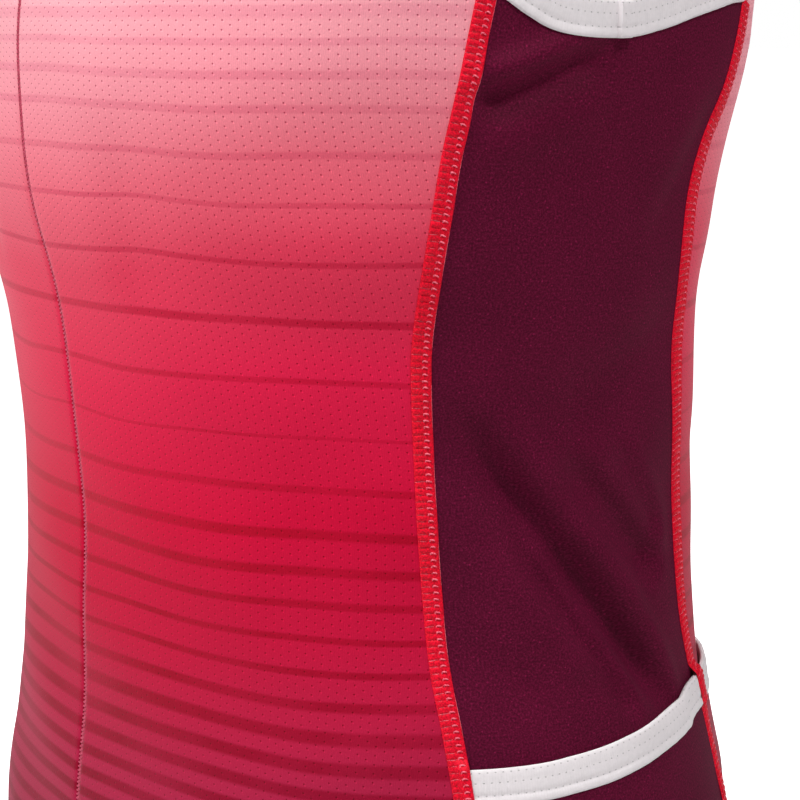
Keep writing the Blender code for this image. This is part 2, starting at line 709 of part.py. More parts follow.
def make_pull():
    """Pull tab: a bar that passes under the bridge, two arms and a tab, as one frame with its origin on the bar"""
    lean = np.tan(PULL_LEAN)
    hinge = in_slider_frame([(0.0, 0.0, BAR_OUT)])[0]

    def leaning(points):
        points = np.asarray(points, float)
        points[:, 2] += BAR_OUT + lean * points[:, 1]
        return in_slider_frame(points) - hinge

    arm_end, tab_end = -ARM_LENGTH, -ARM_LENGTH - TAB_LENGTH
    outline = (
        (ARM_OUTER, BAR_RADIUS), (ARM_OUTER, arm_end + TAB_CORNER), (TAB_HALF_WIDTH, arm_end),
        (TAB_FOOT_HALF_WIDTH, tab_end + TAB_CORNER), (TAB_FOOT_HALF_WIDTH - TAB_CORNER, tab_end),
    )
    outer = list(outline) + [(-x, y) for x, y in reversed(outline)]
    hole = [(ARM_INNER, -BAR_RADIUS), (ARM_INNER, arm_end), (-ARM_INNER, arm_end), (-ARM_INNER, -BAR_RADIUS)]
    frame_points, frame_faces = prism(outer, -ARM_HALF_WALL, ARM_HALF_WALL, 2)
    hole_points, hole_faces = prism(hole, -2 * ARM_HALF_WALL, 2 * ARM_HALF_WALL, 2)
    pull = add_object("zip_pull", leaning(frame_points), frame_faces, "zip_metal")
    window = add_object("window_tool", leaning(hole_points), hole_faces, "zip_metal")
    pull.location = hinge
    window.location = hinge
    combine(pull, window, "DIFFERENCE")


clear_scene()
make_fronts_and_sides()
make_back()
make_pockets()
make_armhole_bindings()
make_neck_binding()
make_pocket_bindings()
make_zip_tape()
make_slider()
make_pull()
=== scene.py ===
"""The look of a sleeveless cycling jersey, as worn, in a plain pale studio.

Metres, +Z up. The front faces -Y and the wearer's left is +X. Every piece of cloth is a patch of one surface,
the body of the garment: a place on it is a row of SECTIONS and an angle, 0 at the wearer's left side, -90 at
the centre front and 90 at the centre back. Right-hand pieces are worked out on the left and mirrored, with
creases of their own. Patterns follow the cloth's own UV map, in millimetres of cloth.
"""

import math

import bpy
import numpy as np
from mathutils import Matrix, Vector


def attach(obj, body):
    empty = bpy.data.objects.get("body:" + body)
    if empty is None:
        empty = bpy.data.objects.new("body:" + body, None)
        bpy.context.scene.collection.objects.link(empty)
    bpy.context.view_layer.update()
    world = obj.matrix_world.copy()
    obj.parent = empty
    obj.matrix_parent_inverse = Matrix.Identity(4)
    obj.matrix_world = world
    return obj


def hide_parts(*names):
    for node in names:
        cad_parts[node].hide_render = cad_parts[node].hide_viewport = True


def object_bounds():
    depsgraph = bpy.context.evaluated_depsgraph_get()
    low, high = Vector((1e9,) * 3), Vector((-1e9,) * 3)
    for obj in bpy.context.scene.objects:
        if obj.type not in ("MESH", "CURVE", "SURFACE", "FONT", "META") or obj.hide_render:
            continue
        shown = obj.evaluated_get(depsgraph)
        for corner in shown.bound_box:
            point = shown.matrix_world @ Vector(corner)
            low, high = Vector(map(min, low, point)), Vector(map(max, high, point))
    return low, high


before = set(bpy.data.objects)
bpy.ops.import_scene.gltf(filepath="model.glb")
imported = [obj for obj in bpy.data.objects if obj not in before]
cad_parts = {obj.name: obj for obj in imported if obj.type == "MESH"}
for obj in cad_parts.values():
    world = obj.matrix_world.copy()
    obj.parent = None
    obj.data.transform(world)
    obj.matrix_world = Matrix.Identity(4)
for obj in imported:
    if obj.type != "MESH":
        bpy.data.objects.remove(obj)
cad_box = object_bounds()

# Walls and gaps of the cloth, as in the solids
CLOTH = 0.0010
HEM_WALL = 0.0020
HEM_DEPTH = 0.020
HEM_STEP = 0.002
SEAM_GAP = 0.0003
BINDING_WIDTH = 0.011
POCKET_GAPE = 0.0094
OUTER_GAPE, MIDDLE_GAPE = 0.2, 0.6
POCKET_SPANS = 0.3
CHANNEL_SHIFT = 1.15

# Sections of the body: the level, half the width, the depth in front and at the back of the side line, and
# the power of the superellipse. The last row lies past the ridge of the shoulder.
SECTION_COLUMNS = ("level", "half_width", "front", "back", "power")
SECTIONS = np.array([
    (-0.600, 0.184, 0.1200, 0.128, 2.15),
    (-0.560, 0.179, 0.1190, 0.127, 2.15),
    (-0.510, 0.169, 0.1130, 0.121, 2.15),
    (-0.455, 0.156, 0.1080, 0.113, 2.15),
    (-0.400, 0.145, 0.1040, 0.1045, 2.15),
    (-0.350, 0.140, 0.1045, 0.1055, 2.15),
    (-0.300, 0.142, 0.1090, 0.1035, 2.20),
    (-0.255, 0.147, 0.1190, 0.1045, 2.25),
    (-0.210, 0.150, 0.1240, 0.1200, 2.30),
    (-0.165, 0.152, 0.1170, 0.1220, 2.30),
    (-0.120, 0.150, 0.1000, 0.112, 2.30),
    (-0.075, 0.147, 0.0800, 0.108, 2.30),
    (-0.035, 0.145, 0.0580, 0.090, 2.30),
    (-0.010, 0.144, 0.0360, 0.064, 2.30),
    (0.004, 0.144, 0.0140, 0.034, 2.30),
    (0.008, 0.144, -0.0080, 0.008, 2.30),
    (0.004, 0.144, -0.0340, -0.014, 2.30),
])
RIDGE = len(SECTIONS) - 2
RIDGE_LEVEL = SECTIONS[RIDGE, 0]
SHOULDER_SLOPE = 0.42
SHOULDER_MIDDLE = 0.0983
SLOPE_STARTS = -0.140
ROW_STEP = 0.02
ANGLE_STEP = 0.5

# Side seams, as level and angle, from the hem to the armhole
FRONT_SEAM = (
    (-0.620, -20.5), (-0.560, -20.5), (-0.500, -21.2), (-0.450, -22.1), (-0.432, -22.7), (-0.410, -23.9),
    (-0.388, -25.3), (-0.348, -26.0), (-0.308, -26.4), (-0.290, -25.9), (-0.260, -23.1), (-0.236, -20.8),
    (-0.214, -18.4), (-0.186, -16.2),
)
BACK_SEAM = (
    (-0.620, 35.5), (-0.560, 36.0), (-0.500, 36.5), (-0.454, 36.5), (-0.428, 34.8), (-0.410, 31.5),
    (-0.390, 28.3), (-0.370, 26.8), (-0.350, 25.9), (-0.310, 23.4), (-0.280, 22.4), (-0.262, 22.3),
    (-0.238, 23.4), (-0.215, 26.8), (-0.1885, 31.2),
)

# Stitch line of the armhole binding, as level and angle, down the front, under the arm and up the back
ARMHOLE_FRONT = (
    (RIDGE_LEVEL, -40.2), (-0.010, -42.5), (-0.050, -44.9), (-0.100, -45.5), (-0.137, -40.5),
    (-0.162, -33.0), (-0.1755, -24.0), FRONT_SEAM[-1],
)
ARMHOLE_UNDER = (
    (-0.1940, -10.8), (-0.1990, -6.0), (-0.2006, 1.5), (-0.1980, 8.0), (-0.1940, 15.0), (-0.1902, 24.0),
)
ARMHOLE_BACK = (
    BACK_SEAM[-1], (-0.1825, 37.2), (-0.168, 42.0), (-0.140, 44.5), (-0.100, 45.0), (-0.050, 43.2),
    (-0.010, 41.5), (RIDGE_LEVEL, 40.2),
)
NECK_HALF_WIDTH = 0.076
NECK_DROP_FRONT = 0.114
NECK_DROP_BACK = 0.064

# Upper edge of the pocket mouths, as angle and level, and how the hem's level changes round the body
MOUTH = ((-90.0, -0.422), (-21.0, -0.422), (-3.0, -0.4205), (7.0, -0.4178), (14.0, -0.4153),
         (23.0, -0.4126), (33.0, -0.4095), (90.0, -0.414))
HEM_SIDE = -0.565
HEM_RISE_FRONT = 0.010
HEM_TAIL = 0.035

# Creases, each a trough between two places, with a low ridge along both sides: level and angle of each end,
# the reach to a side at each end, and the depth at each end. Angles run on round the right side: 180 is the
# wearer's right side. The first four and their like on the right are the folds of the solids.
CREASES = (
    (-0.304, -25.5, -0.420, 21.8, 0.0078, 0.0046, 0.0064, 0.0076),
    (-0.345, -14.0, -0.415, 10.0, 0.0034, 0.0024, 0.0032, 0.0036),
    (-0.326, -5.0, -0.373, 20.0, 0.0070, 0.0050, 0.0046, 0.0052),
    (-0.2225, -19.5, -0.2045, 1.8, 0.0050, 0.0042, 0.0056, 0.0032),
    (-0.214, -16.5, -0.203, -4.0, 0.0064, 0.0056, -0.0014, -0.0010),
    (-0.394, -2.5, -0.413, 9.0, 0.0034, 0.0026, 0.0014, 0.0018),
    (-0.324, 4.0, -0.360, 20.0, 0.0044, 0.0030, 0.0022, 0.0028),
    (-0.208, 1.5, -0.262, -1.8, 0.0010, 0.0009, 0.00034, 0.00022),
    (-0.270, -1.6, -0.392, -0.2, 0.0011, 0.0010, 0.00016, 0.00022),
    (-0.246, -19.0, -0.232, 8.0, 0.0100, 0.0080, 0.0009, 0.0005),
    (-0.214, 25.0, -0.268, 10.0, 0.0080, 0.0070, 0.0009, 0.0005),
    (-0.286, 22.0, -0.318, -6.0, 0.0110, 0.0120, 0.0012, 0.0006),
    (-0.380, -24.0, -0.404, -6.0, 0.0080, 0.0060, 0.0011, 0.0009),
    (-0.440, -19.0, -0.462, 6.0, 0.0075, 0.0060, 0.0013, 0.0009),
    (-0.505, -16.0, -0.470, 12.0, 0.0110, 0.0090, 0.0012, 0.0008),
    (-0.302, 204.0, -0.418, 157.0, 0.0076, 0.0046, 0.0021, 0.0036),
    (-0.346, 192.0, -0.400, 170.0, 0.0056, 0.0050, 0.0012, 0.0017),
    (-0.338, 183.0, -0.368, 157.0, 0.0085, 0.0060, 0.0016, 0.0020),
    (-0.219, 201.0, -0.208, 181.0, 0.0060, 0.0064, 0.0018, 0.0011),
    (-0.396, 184.0, -0.417, 171.0, 0.0040, 0.0036, 0.0008, 0.0013),
    (-0.258, 179.0, -0.372, 181.0, 0.0012, 0.0010, 0.00018, 0.00014),
    (-0.282, 158.0, -0.312, 188.0, 0.0100, 0.0120, 0.0010, 0.0007),
    (-0.374, 203.0, -0.400, 188.0, 0.0080, 0.0060, 0.0009, 0.0008),
    (-0.452, 196.0, -0.470, 176.0, 0.0080, 0.0060, 0.0012, 0.0009),
    (-0.492, 171.0, -0.512, 192.0, 0.0100, 0.0080, 0.0010, 0.0009),
    (-0.196, -68.0, -0.292, -71.0, 0.0160, 0.0120, 0.0016, 0.0010),
    (-0.300, -36.0, -0.396, -52.0, 0.0180, 0.0140, 0.0008, 0.0008),
    (-0.428, -24.0, -0.452, -62.0, 0.0110, 0.0140, 0.0012, 0.0008),
    (-0.500, -34.0, -0.478, -74.0, 0.0120, 0.0150, 0.0009, 0.0008),
    (-0.204, 246.0, -0.284, 252.0, 0.0150, 0.0120, 0.0014, 0.0010),
    (-0.318, 214.0, -0.402, 232.0, 0.0170, 0.0130, 0.0008, 0.0010),
    (-0.436, 206.0, -0.458, 240.0, 0.0110, 0.0140, 0.0012, 0.0008),
    (-0.520, 212.0, -0.494, 246.0, 0.0120, 0.0120, 0.0008, 0.0007),
    (-0.140, 60.0, -0.202, 40.0, 0.0110, 0.0080, 0.0010, 0.0016),
    (-0.128, 121.0, -0.196, 141.0, 0.0120, 0.0080, 0.0010, 0.0015),
    (-0.264, 30.0, -0.330, 66.0, 0.0120, 0.0130, 0.0008, 0.0012),
    (-0.322, 30.0, -0.372, 72.0, 0.0110, 0.0120, 0.0007, 0.0013),
    (-0.360, 40.0, -0.398, 70.0, 0.0080, 0.0080, 0.0008, 0.0008),
    (-0.276, 151.0, -0.338, 110.0, 0.0100, 0.0120, 0.0016, 0.0012),
    (-0.334, 150.0, -0.386, 104.0, 0.0085, 0.0110, 0.0017, 0.0012),
    (-0.388, 84.0, -0.356, 112.0, 0.0090, 0.0110, 0.0011, 0.0008),
    (-0.300, 84.0, -0.330, 103.0, 0.0120, 0.0120, 0.0009, 0.0007),
    (-0.450, 38.0, -0.486, 68.0, 0.0080, 0.0100, 0.0014, 0.0012),
    (-0.474, 112.0, -0.450, 142.0, 0.0080, 0.0090, 0.0012, 0.0014),
    (-0.520, 78.0, -0.500, 101.0, 0.0100, 0.0100, 0.0011, 0.0010),
    (-0.452, 78.0, -0.470, 96.0, 0.0070, 0.0080, 0.0009, 0.0008),
)
# Shares of the reach on a trough's steep upper side and its slow lower side, and the height of both ridges
UPPER_REACH, LOWER_REACH = 0.75, 1.45
UPPER_RIDGE, LOWER_RIDGE = 0.26, 0.22
RIPPLE = 0.00030

# Zip
ZIP_HALF_GAP = 0.0010
TAPE_HALF_WIDTH = 0.0125
TAPE_WALL = 0.0007
TOOTH_PITCH = 0.0014

# Flatlock seams: width, length of a stitch, and the rows of points along a stitch
SEAM_WIDTHS = {"front": 0.0062, "back": 0.0074, "shoulder": 0.0062}
STITCH = 0.00206
STITCH_POINTS = 5

# Camera: where it stands round the object, how far off, how high, how far aside, its tilt and lens
CAMERA_AZIMUTH = math.radians(57)
CAMERA_TILT = math.radians(9)
CAMERA_DISTANCE = 0.82
CAMERA_HEIGHT = -0.200
CAMERA_ASIDE = 0.020
CAMERA_LENS = 104
SENSOR_WIDTH = 36

MIRROR = np.array([-1.0, 1.0, 1.0])
MILLIMETRE = 1000.0
HANDS = (("left", False), ("right", True))


def through(values, at):
    """Smooth curve through evenly numbered values, read at fractions of a number: a cubic between each two,
    whose slope at a value is half the step between its neighbours"""
    values = np.asarray(values, float)
    at = np.clip(at, 0, len(values) - 1)
    low = np.minimum(at.astype(int), len(values) - 2)
    part = at - low
    before = values[np.maximum(low - 1, 0)]
    start = values[low]
    end = values[low + 1]
    after = values[np.minimum(low + 2, len(values) - 1)]
    slope_in = (end - before) / 2
    slope_out = (after - start) / 2
    cube, square = part ** 3, part ** 2
    return ((2 * cube - 3 * square + 1) * start + (cube - 2 * square + part) * slope_in
            + (3 * square - 2 * cube) * end + (cube - square) * slope_out)


def section(name, row):
    return through(SECTIONS[:, SECTION_COLUMNS.index(name)], np.asarray(row, float))


def row_of(level):
    """Row of SECTIONS that has this level"""
    rows = np.linspace(0, RIDGE, 4001)
    return np.interp(level, section("level", rows), rows)


def smoothstep(value):
    value = np.clip(value, 0, 1)
    return value * value * (3 - 2 * value)


def mix(start, end, part):
    return start + (end - start) * part


def unit(vectors):
    return vectors / np.linalg.norm(vectors, axis=-1, keepdims=True)


def body(row, angle):
    """Points of the garment's body: x is the half width times cos^(2/power) of the angle and y the depth times
    sin^(2/power), signs kept, at the row's level; the shoulders fall in proportion to the distance outwards"""
    row, angle = np.broadcast_arrays(np.asarray(row, float), np.asarray(angle, float))
    turn = np.radians(angle)
    across, along = np.cos(turn), np.sin(turn)
    power = 2 / section("power", row)
    level = section("level", row)
    depth = np.where(along < 0, -section("front", row), section("back", row))
    x = section("half_width", row) * np.sign(across) * np.abs(across) ** power
    y = depth * np.abs(along) ** power
    fall = smoothstep((level - SLOPE_STARTS) / (RIDGE_LEVEL - SLOPE_STARTS))
    z = level - SHOULDER_SLOPE * (np.abs(x) - SHOULDER_MIDDLE) * fall
    return np.stack([x, y, z], axis=-1)


def slopes(row, angle):
    """Steps of the surface for one row and for one degree"""
    below = np.minimum(row, ROW_STEP)
    by_row = (body(row + ROW_STEP, angle) - body(row - below, angle)) / (ROW_STEP + below)[..., None]
    by_angle = (body(row, angle + ANGLE_STEP) - body(row, angle - ANGLE_STEP)) / (2 * ANGLE_STEP)
    return by_row, by_angle


def relief(points):
    """Height of the creases and of a slight ripple at points of the body. Across a crease, with a distance a in
    reaches of its side, the height is -exp(-a^2) plus a ridge share * exp(-((a-2.1)/1.1)^2), times the depth,
    and it fades in and out as a smooth step at both ends. The ripple is a sum of slow sines of the position."""
    shape = points.shape[:-1]
    points = points.reshape(-1, 3)
    x, y, z = points.T
    ripple = np.sin(61 * x + 93 * z) + np.sin(88 * y - 71 * z + 1.3)
    ripple = ripple + 0.6 * np.sin(121 * z + 37 * x - 52 * y)
    height = RIPPLE * ripple
    part = np.linspace(0, 1, 13)
    for level_a, angle_a, level_b, angle_b, reach_a, reach_b, depth_a, depth_b in CREASES:
        line = body(row_of(mix(level_a, level_b, part)), mix(angle_a, angle_b, part))
        middle = line[len(line) // 2]
        span = np.linalg.norm(line - middle, axis=1).max() + 6 * max(reach_a, reach_b)
        near = np.flatnonzero(np.linalg.norm(points - middle, axis=1) < span)
        if not len(near):
            continue
        step = np.diff(line, axis=0)
        offset = points[near, None, :] - line[:-1]
        share = np.clip(np.sum(offset * step, -1) / np.sum(step * step, -1), 0, 1)
        offset = offset - share[..., None] * step
        gap = np.linalg.norm(offset, axis=-1)
        closest = gap.argmin(axis=1)
        every = np.arange(len(near))
        along = (closest + share[every, closest]) / len(step)
        upper = offset[every, closest, 2] > 0
        away = gap[every, closest] / mix(reach_a, reach_b, along) / np.where(upper, UPPER_REACH, LOWER_REACH)
        fade = smoothstep(along / 0.3) * smoothstep((1 - along) / 0.2)
        ridge = np.where(upper, UPPER_RIDGE, LOWER_RIDGE) * np.exp(-((away - 2.1) / 1.1) ** 2)
        height[near] -= mix(depth_a, depth_b, along) * fade * (np.exp(-away ** 2) - ridge)
    return height.reshape(shape)


def skin(row, angle, out, mirrored=False, spanned=1.0):
    """Points that stand out from the creased body by the given distance, on the left or mirrored to the right. A
    layer that spans the creases below it follows only a share of their troughs, and more of their ridges."""
    row, angle, out = np.broadcast_arrays(np.asarray(row, float), np.asarray(angle, float), np.asarray(out, float))
    points = body(row, angle)
    by_row, by_angle = slopes(row, angle)
    outward = unit(np.cross(by_angle, by_row))
    turned = MIRROR if mirrored else 1.0
    height = relief(points * turned)
    height = height * np.where(height < 0, spanned, mix(spanned, 1.0, 0.4))
    return (points + outward * (out + height)[..., None]) * turned


# Cloth lengths over the body, for the UV maps: along each ring from the centre front, and upwards, where the
# level serves as far as the chest and the way over the surface above it
CHEST_LEVEL = -0.200
TABLE_ROWS = np.linspace(0, RIDGE, 241)
TABLE_ANGLES = np.linspace(-90, 90, 361)


def length_tables():
    points = body(TABLE_ROWS[:, None], TABLE_ANGLES)
    around = np.cumsum(np.linalg.norm(np.diff(points, axis=1, prepend=points[:, :1]), axis=-1), axis=1)
    up = np.cumsum(np.linalg.norm(np.diff(points, axis=0, prepend=points[:1]), axis=-1), axis=0)
    chest = np.searchsorted(TABLE_ROWS, row_of(CHEST_LEVEL))
    levels = np.broadcast_to(section("level", TABLE_ROWS)[:, None], up.shape)
    height = np.where(TABLE_ROWS[:, None] < TABLE_ROWS[chest], levels, levels[chest] + up - up[chest])
    return around * MILLIMETRE, height * MILLIMETRE


AROUND, HEIGHT = length_tables()


def read_table(table, row, angle):
    """Value between the four nearest entries of a table over rows and angles"""
    at_row = np.clip(row / TABLE_ROWS[1], 0, len(TABLE_ROWS) - 1.001)
    at_angle = np.clip((angle - TABLE_ANGLES[0]) / (TABLE_ANGLES[1] - TABLE_ANGLES[0]), 0, len(TABLE_ANGLES) - 1.001)
    i, j = at_row.astype(int), at_angle.astype(int)
    p, q = at_row - i, at_angle - j
    return mix(mix(table[i, j], table[i, j + 1], q), mix(table[i + 1, j], table[i + 1, j + 1], q), p)


def curve_of(table):
    """Fine smooth curve through a table of pairs, as two arrays"""
    at = np.linspace(0, len(table) - 1, 60 * len(table))
    first, second = np.array(table).T
    return through(first, at), through(second, at)


CURVES = {"front": curve_of(FRONT_SEAM), "back": curve_of(BACK_SEAM), "mouth": curve_of(MOUTH)}


def seam_angle(seam, level):
    return np.interp(level, *CURVES[seam])


def mouth_level(angle):
    return np.interp(angle, *CURVES["mouth"])


def hem_level(angle):
    turn = np.sin(np.radians(angle))
    return HEM_SIDE - np.where(turn < 0, HEM_RISE_FRONT, HEM_TAIL) * turn ** 2


def gap_angle(level, angle):
    """Half a seam gap, in degrees round the body"""
    _, by_angle = slopes(row_of(level), np.asarray(angle, float))
    return SEAM_GAP / 2 / np.linalg.norm(by_angle, axis=-1)


def across_angle(distance, row):
    """Angle on the front at this distance from the centre"""
    part = (distance / section("half_width", row)) ** (section("power", row) / 2)
    return -np.degrees(np.arccos(part))


def evenly(places, count):
    """The same line of places, divided into equal lengths"""
    rows, angles = places
    run = np.concatenate([[0], np.cumsum(np.linalg.norm(np.diff(body(rows, angles), axis=0), axis=1))])
    at = np.linspace(0, run[-1], count + 1)
    return np.interp(at, run, rows), np.interp(at, run, angles)


def armhole_lines():
    """Fine lines of the armhole: down the front, under the arm and up the back"""
    table = ARMHOLE_FRONT + ARMHOLE_UNDER + ARMHOLE_BACK
    rows = row_of(np.array([level for level, _ in table]))
    angles = np.array([angle for _, angle in table])
    corner_front = len(ARMHOLE_FRONT) - 1
    corner_back = corner_front + len(ARMHOLE_UNDER) + 1
    ends = ((0, corner_front), (corner_front, corner_back), (corner_back, len(table) - 1))
    return [(through(rows, at), through(angles, at)) for start, end in ends
            for at in [np.linspace(start, end, 60 * (end - start) + 1)]]


def neck_line(drop, back):
    """Fine line of the neck from the centre to the shoulder, a quarter of an ellipse in width and level"""
    turn = np.linspace(0, np.pi / 2, 500)
    fall = np.cos(turn)
    rows = row_of(RIDGE_LEVEL - drop * fall)
    distance = np.maximum(NECK_HALF_WIDTH * np.sin(turn), 0.0 if back else ZIP_HALF_GAP)
    angles = across_angle(distance, rows)
    return rows, -angles if back else angles


# Shares of the way up from the hem that give its turned edge enough rows, and the drop of the outer face there,
# then the same beside the zip
HEM_SHARES = np.array([0.0, 0.0009, 0.0022, 0.0045])
HEM_ROUNDING = np.array([-0.0007, -0.00025, -0.00005, 0.0])
ZIP_SHARES = np.array([0.0, 0.003, 0.007, 0.012])
ZIP_ROUNDING = np.array([-0.0006, -0.0002, -0.00005])


def rising(count):
    """Shares of the way from the hem to the underarm"""
    return np.concatenate([HEM_SHARES, np.linspace(HEM_SHARES[-1], 1, count + 1)[1:]])


def above_corner(corner_level, drop, back, arm, upper, chest_steps, across):
    """Rows and angles above the armhole's corner, between the armhole's line and the line up the centre and
    round the neck, from the zip outwards or from the armhole to the centre back"""
    chest = np.linspace(row_of(corner_level), row_of(RIDGE_LEVEL - drop), 100)
    centre = np.full(100, 90.0) if back else across_angle(ZIP_HALF_GAP, chest)
    low, high = evenly((chest, centre), chest_steps), evenly(neck_line(drop, back), upper - chest_steps)
    inner = [np.concatenate([first[1:], second[1:]])[:, None] for first, second in zip(low, high)]
    outer = [line[1:, None] for line in arm]
    start, end = (outer, inner) if back else (inner, outer)
    return [mix(first, last, across) for first, last in zip(start, end)]


def front_places(columns, lower, upper):
    """Rows and angles of the left front, from the zip edge to the side"""
    across = np.concatenate([ZIP_SHARES, np.linspace(ZIP_SHARES[-1], 1, columns)[1:]])
    corner_level = FRONT_SEAM[-1][0]
    hem = hem_level(mix(-90, seam_angle("front", HEM_SIDE), across))
    levels = mix(hem, corner_level, rising(lower)[:, None])
    rows = row_of(levels)
    outer = seam_angle("front", levels)
    angles = mix(across_angle(ZIP_HALF_GAP, rows), outer - gap_angle(levels, outer), across)
    arm = [line[::-1] for line in evenly(armhole_lines()[0], upper)]
    above = above_corner(corner_level, NECK_DROP_FRONT, False, arm, upper, upper // 3, across)
    return [np.concatenate(pair) for pair in zip((rows, angles), above)]


def back_places(columns, lower, upper):
    """Rows and angles of the left half of the back, from the side to the centre"""
    across = np.linspace(0, 1, columns + 1)
    corner_level = BACK_SEAM[-1][0]
    hem = hem_level(mix(seam_angle("back", HEM_SIDE), 90, across))
    levels = mix(hem, corner_level, rising(lower)[:, None])
    outer = seam_angle("back", levels)
    angles = mix(outer + gap_angle(levels, outer), 90, across)
    arm = evenly(armhole_lines()[2], upper)
    above = above_corner(corner_level, NECK_DROP_BACK, True, arm, upper, upper // 2, across)
    return [np.concatenate(pair) for pair in zip((row_of(levels), angles), above)]


def side_places(columns, lower):
    """Rows and angles of the left side panel, from the front seam to the back seam"""
    arm_rows, arm_angles = evenly(armhole_lines()[1], columns)
    across = (arm_angles - arm_angles[0]) / (arm_angles[-1] - arm_angles[0])
    hem = hem_level(mix(seam_angle("front", HEM_SIDE), seam_angle("back", HEM_SIDE), across))
    levels = mix(hem, section("level", arm_rows), rising(lower)[:, None])
    angles = side_angles(levels, across)
    angles[-1, 1:-1] = arm_angles[1:-1]
    return row_of(levels), angles


def side_angles(levels, across):
    """Angles of places on the side panel at these levels and shares of its width"""
    front = seam_angle("front", levels)
    back = seam_angle("back", levels)
    return mix(front + gap_angle(levels, front), back - gap_angle(levels, back), across)


def pocket_levels(at_hem, at_mouth, count):
    """Levels of the rows of a pocket, from above the turned hem to just under its binding"""
    low = hem_level(at_hem) + HEM_DEPTH + HEM_STEP
    high = mouth_level(at_mouth) - BINDING_WIDTH - SEAM_GAP
    return mix(low, high, np.linspace(0, 1, count + 1)[:, None])


def pocket_side_places(columns, count):
    across = np.linspace(0, 1, columns + 1)
    at_hem = mix(seam_angle("front", HEM_SIDE), seam_angle("back", HEM_SIDE), across)
    at_mouth = mix(seam_angle("front", MOUTH[1][1]), seam_angle("back", MOUTH[-1][1]), across)
    levels = pocket_levels(at_hem, at_mouth, count)
    return row_of(levels), side_angles(levels, across)


def pocket_back_places(columns, count):
    across = np.linspace(0, 1, columns + 1)
    at_hem = mix(seam_angle("back", HEM_SIDE), 90, across)
    at_mouth = mix(seam_angle("back", MOUTH[-1][1]), 90, across)
    levels = pocket_levels(at_hem, at_mouth, count)
    outer = seam_angle("back", levels)
    return row_of(levels), mix(outer + gap_angle(levels, outer), 90, across)


def back_pocket_gap(across, share):
    """Gap behind the back pocket: a squared sine over three pockets, from nothing at the foot to the mouth. All
    are drawn flatter than their solid, as empty pockets lie, and the outer two most."""
    lobes = np.sin(1.5 * np.pi * across ** CHANNEL_SHIFT) ** 2
    gape = mix(OUTER_GAPE, MIDDLE_GAPE, smoothstep((across - 0.5) / 0.3))
    return SEAM_GAP + POCKET_GAPE * lobes * gape * smoothstep(share)


# Meshes

def quads_of(count_r, count_c, closed_r=False, closed_c=False):
    """Four corners of each face of a grid, as numbers of points, and as their rows and columns unwrapped"""
    r, c = np.meshgrid(np.arange(count_r - (not closed_r)), np.arange(count_c - (not closed_c)), indexing="ij")
    r, c = r.ravel(), c.ravel()
    rows = np.stack([r, r, r + 1, r + 1], axis=1)
    columns = np.stack([c, c + 1, c + 1, c], axis=1)
    return rows % count_r * count_c + columns % count_c, rows, columns


def add_piece(name, points, faces, uvs, material):
    """One mesh from its points, groups of faces with their UVs, and its material. Faces of a closed shape that
    would point inwards are turned round, which its signed volume shows."""
    points = np.asarray(points, float).reshape(-1, 3)
    volume = 0.0
    for group in faces:
        for corner in range(1, group.shape[1] - 1):
            a, b, c = points[group[:, 0]], points[group[:, corner]], points[group[:, corner + 1]]
            volume += np.sum(a * np.cross(b, c))
    if volume < 0:
        faces = [group[:, ::-1] for group in faces]
        uvs = [group[:, ::-1] for group in uvs]
    corners = np.concatenate([group.ravel() for group in faces])
    totals = np.concatenate([np.full(len(group), group.shape[1]) for group in faces])
    mesh = bpy.data.meshes.new(name)
    mesh.vertices.add(len(points))
    mesh.vertices.foreach_set("co", points.ravel())
    mesh.loops.add(len(corners))
    mesh.loops.foreach_set("vertex_index", corners)
    mesh.polygons.add(len(totals))
    mesh.polygons.foreach_set("loop_start", np.concatenate([[0], np.cumsum(totals)[:-1]]))
    mesh.update(calc_edges=True)
    uv_map = mesh.uv_layers.new(name="cloth")
    uv_map.data.foreach_set("uv", np.concatenate([group.reshape(-1, 2) for group in uvs]).ravel())
    mesh.validate()
    mesh.shade_smooth()
    mesh.set_sharp_from_angle(angle=math.radians(55))
    mesh.materials.append(material)
    item = bpy.data.objects.new(name, mesh)
    bpy.context.scene.collection.objects.link(item)
    return item


def shell(outer, inner, uv, quads):
    """Points, faces and UVs of a closed wall between two faces of cloth, with a rim along every open edge: one
    that only a single face has"""
    size = len(outer)
    start, end = quads.ravel(), np.roll(quads, -1, axis=1).ravel()
    is_open = ~np.isin(start * size + end, end * size + start)
    start, end = start[is_open], end[is_open]
    rim = np.stack([end, start, start + size, end + size], axis=1)
    faces = np.concatenate([quads, quads[:, ::-1] + size, rim])
    return np.concatenate([outer, inner]), [faces], [uv[faces % size]]


def panel_shell(outer, inner, uv):
    """Closed wall of a panel on one side of the body"""
    quads, _, _ = quads_of(*uv.shape[:2])
    return shell(outer.reshape(-1, 3), inner.reshape(-1, 3), uv.reshape(-1, 2), quads)


def halves_shell(left, right, uv):
    """Closed wall of a piece that crosses the centre back, from the outer and inner faces of both halves and
    the UVs of the left one. Points of both halves that meet at the centre become one."""
    quads, _, _ = quads_of(*uv.shape[:2])
    outer, inner = (np.concatenate([a.reshape(-1, 3), b.reshape(-1, 3)]) for a, b in zip(left, right))
    quads = np.concatenate([quads, quads[:, ::-1] + len(outer) // 2])
    uv = np.concatenate([uv.reshape(-1, 2), uv.reshape(-1, 2) * (-1, 1)])
    _, first, number = np.unique(np.round(outer, 7) + 0.0, axis=0, return_index=True, return_inverse=True)
    return shell(outer[first], inner[first], uv[first], number.ravel()[quads])


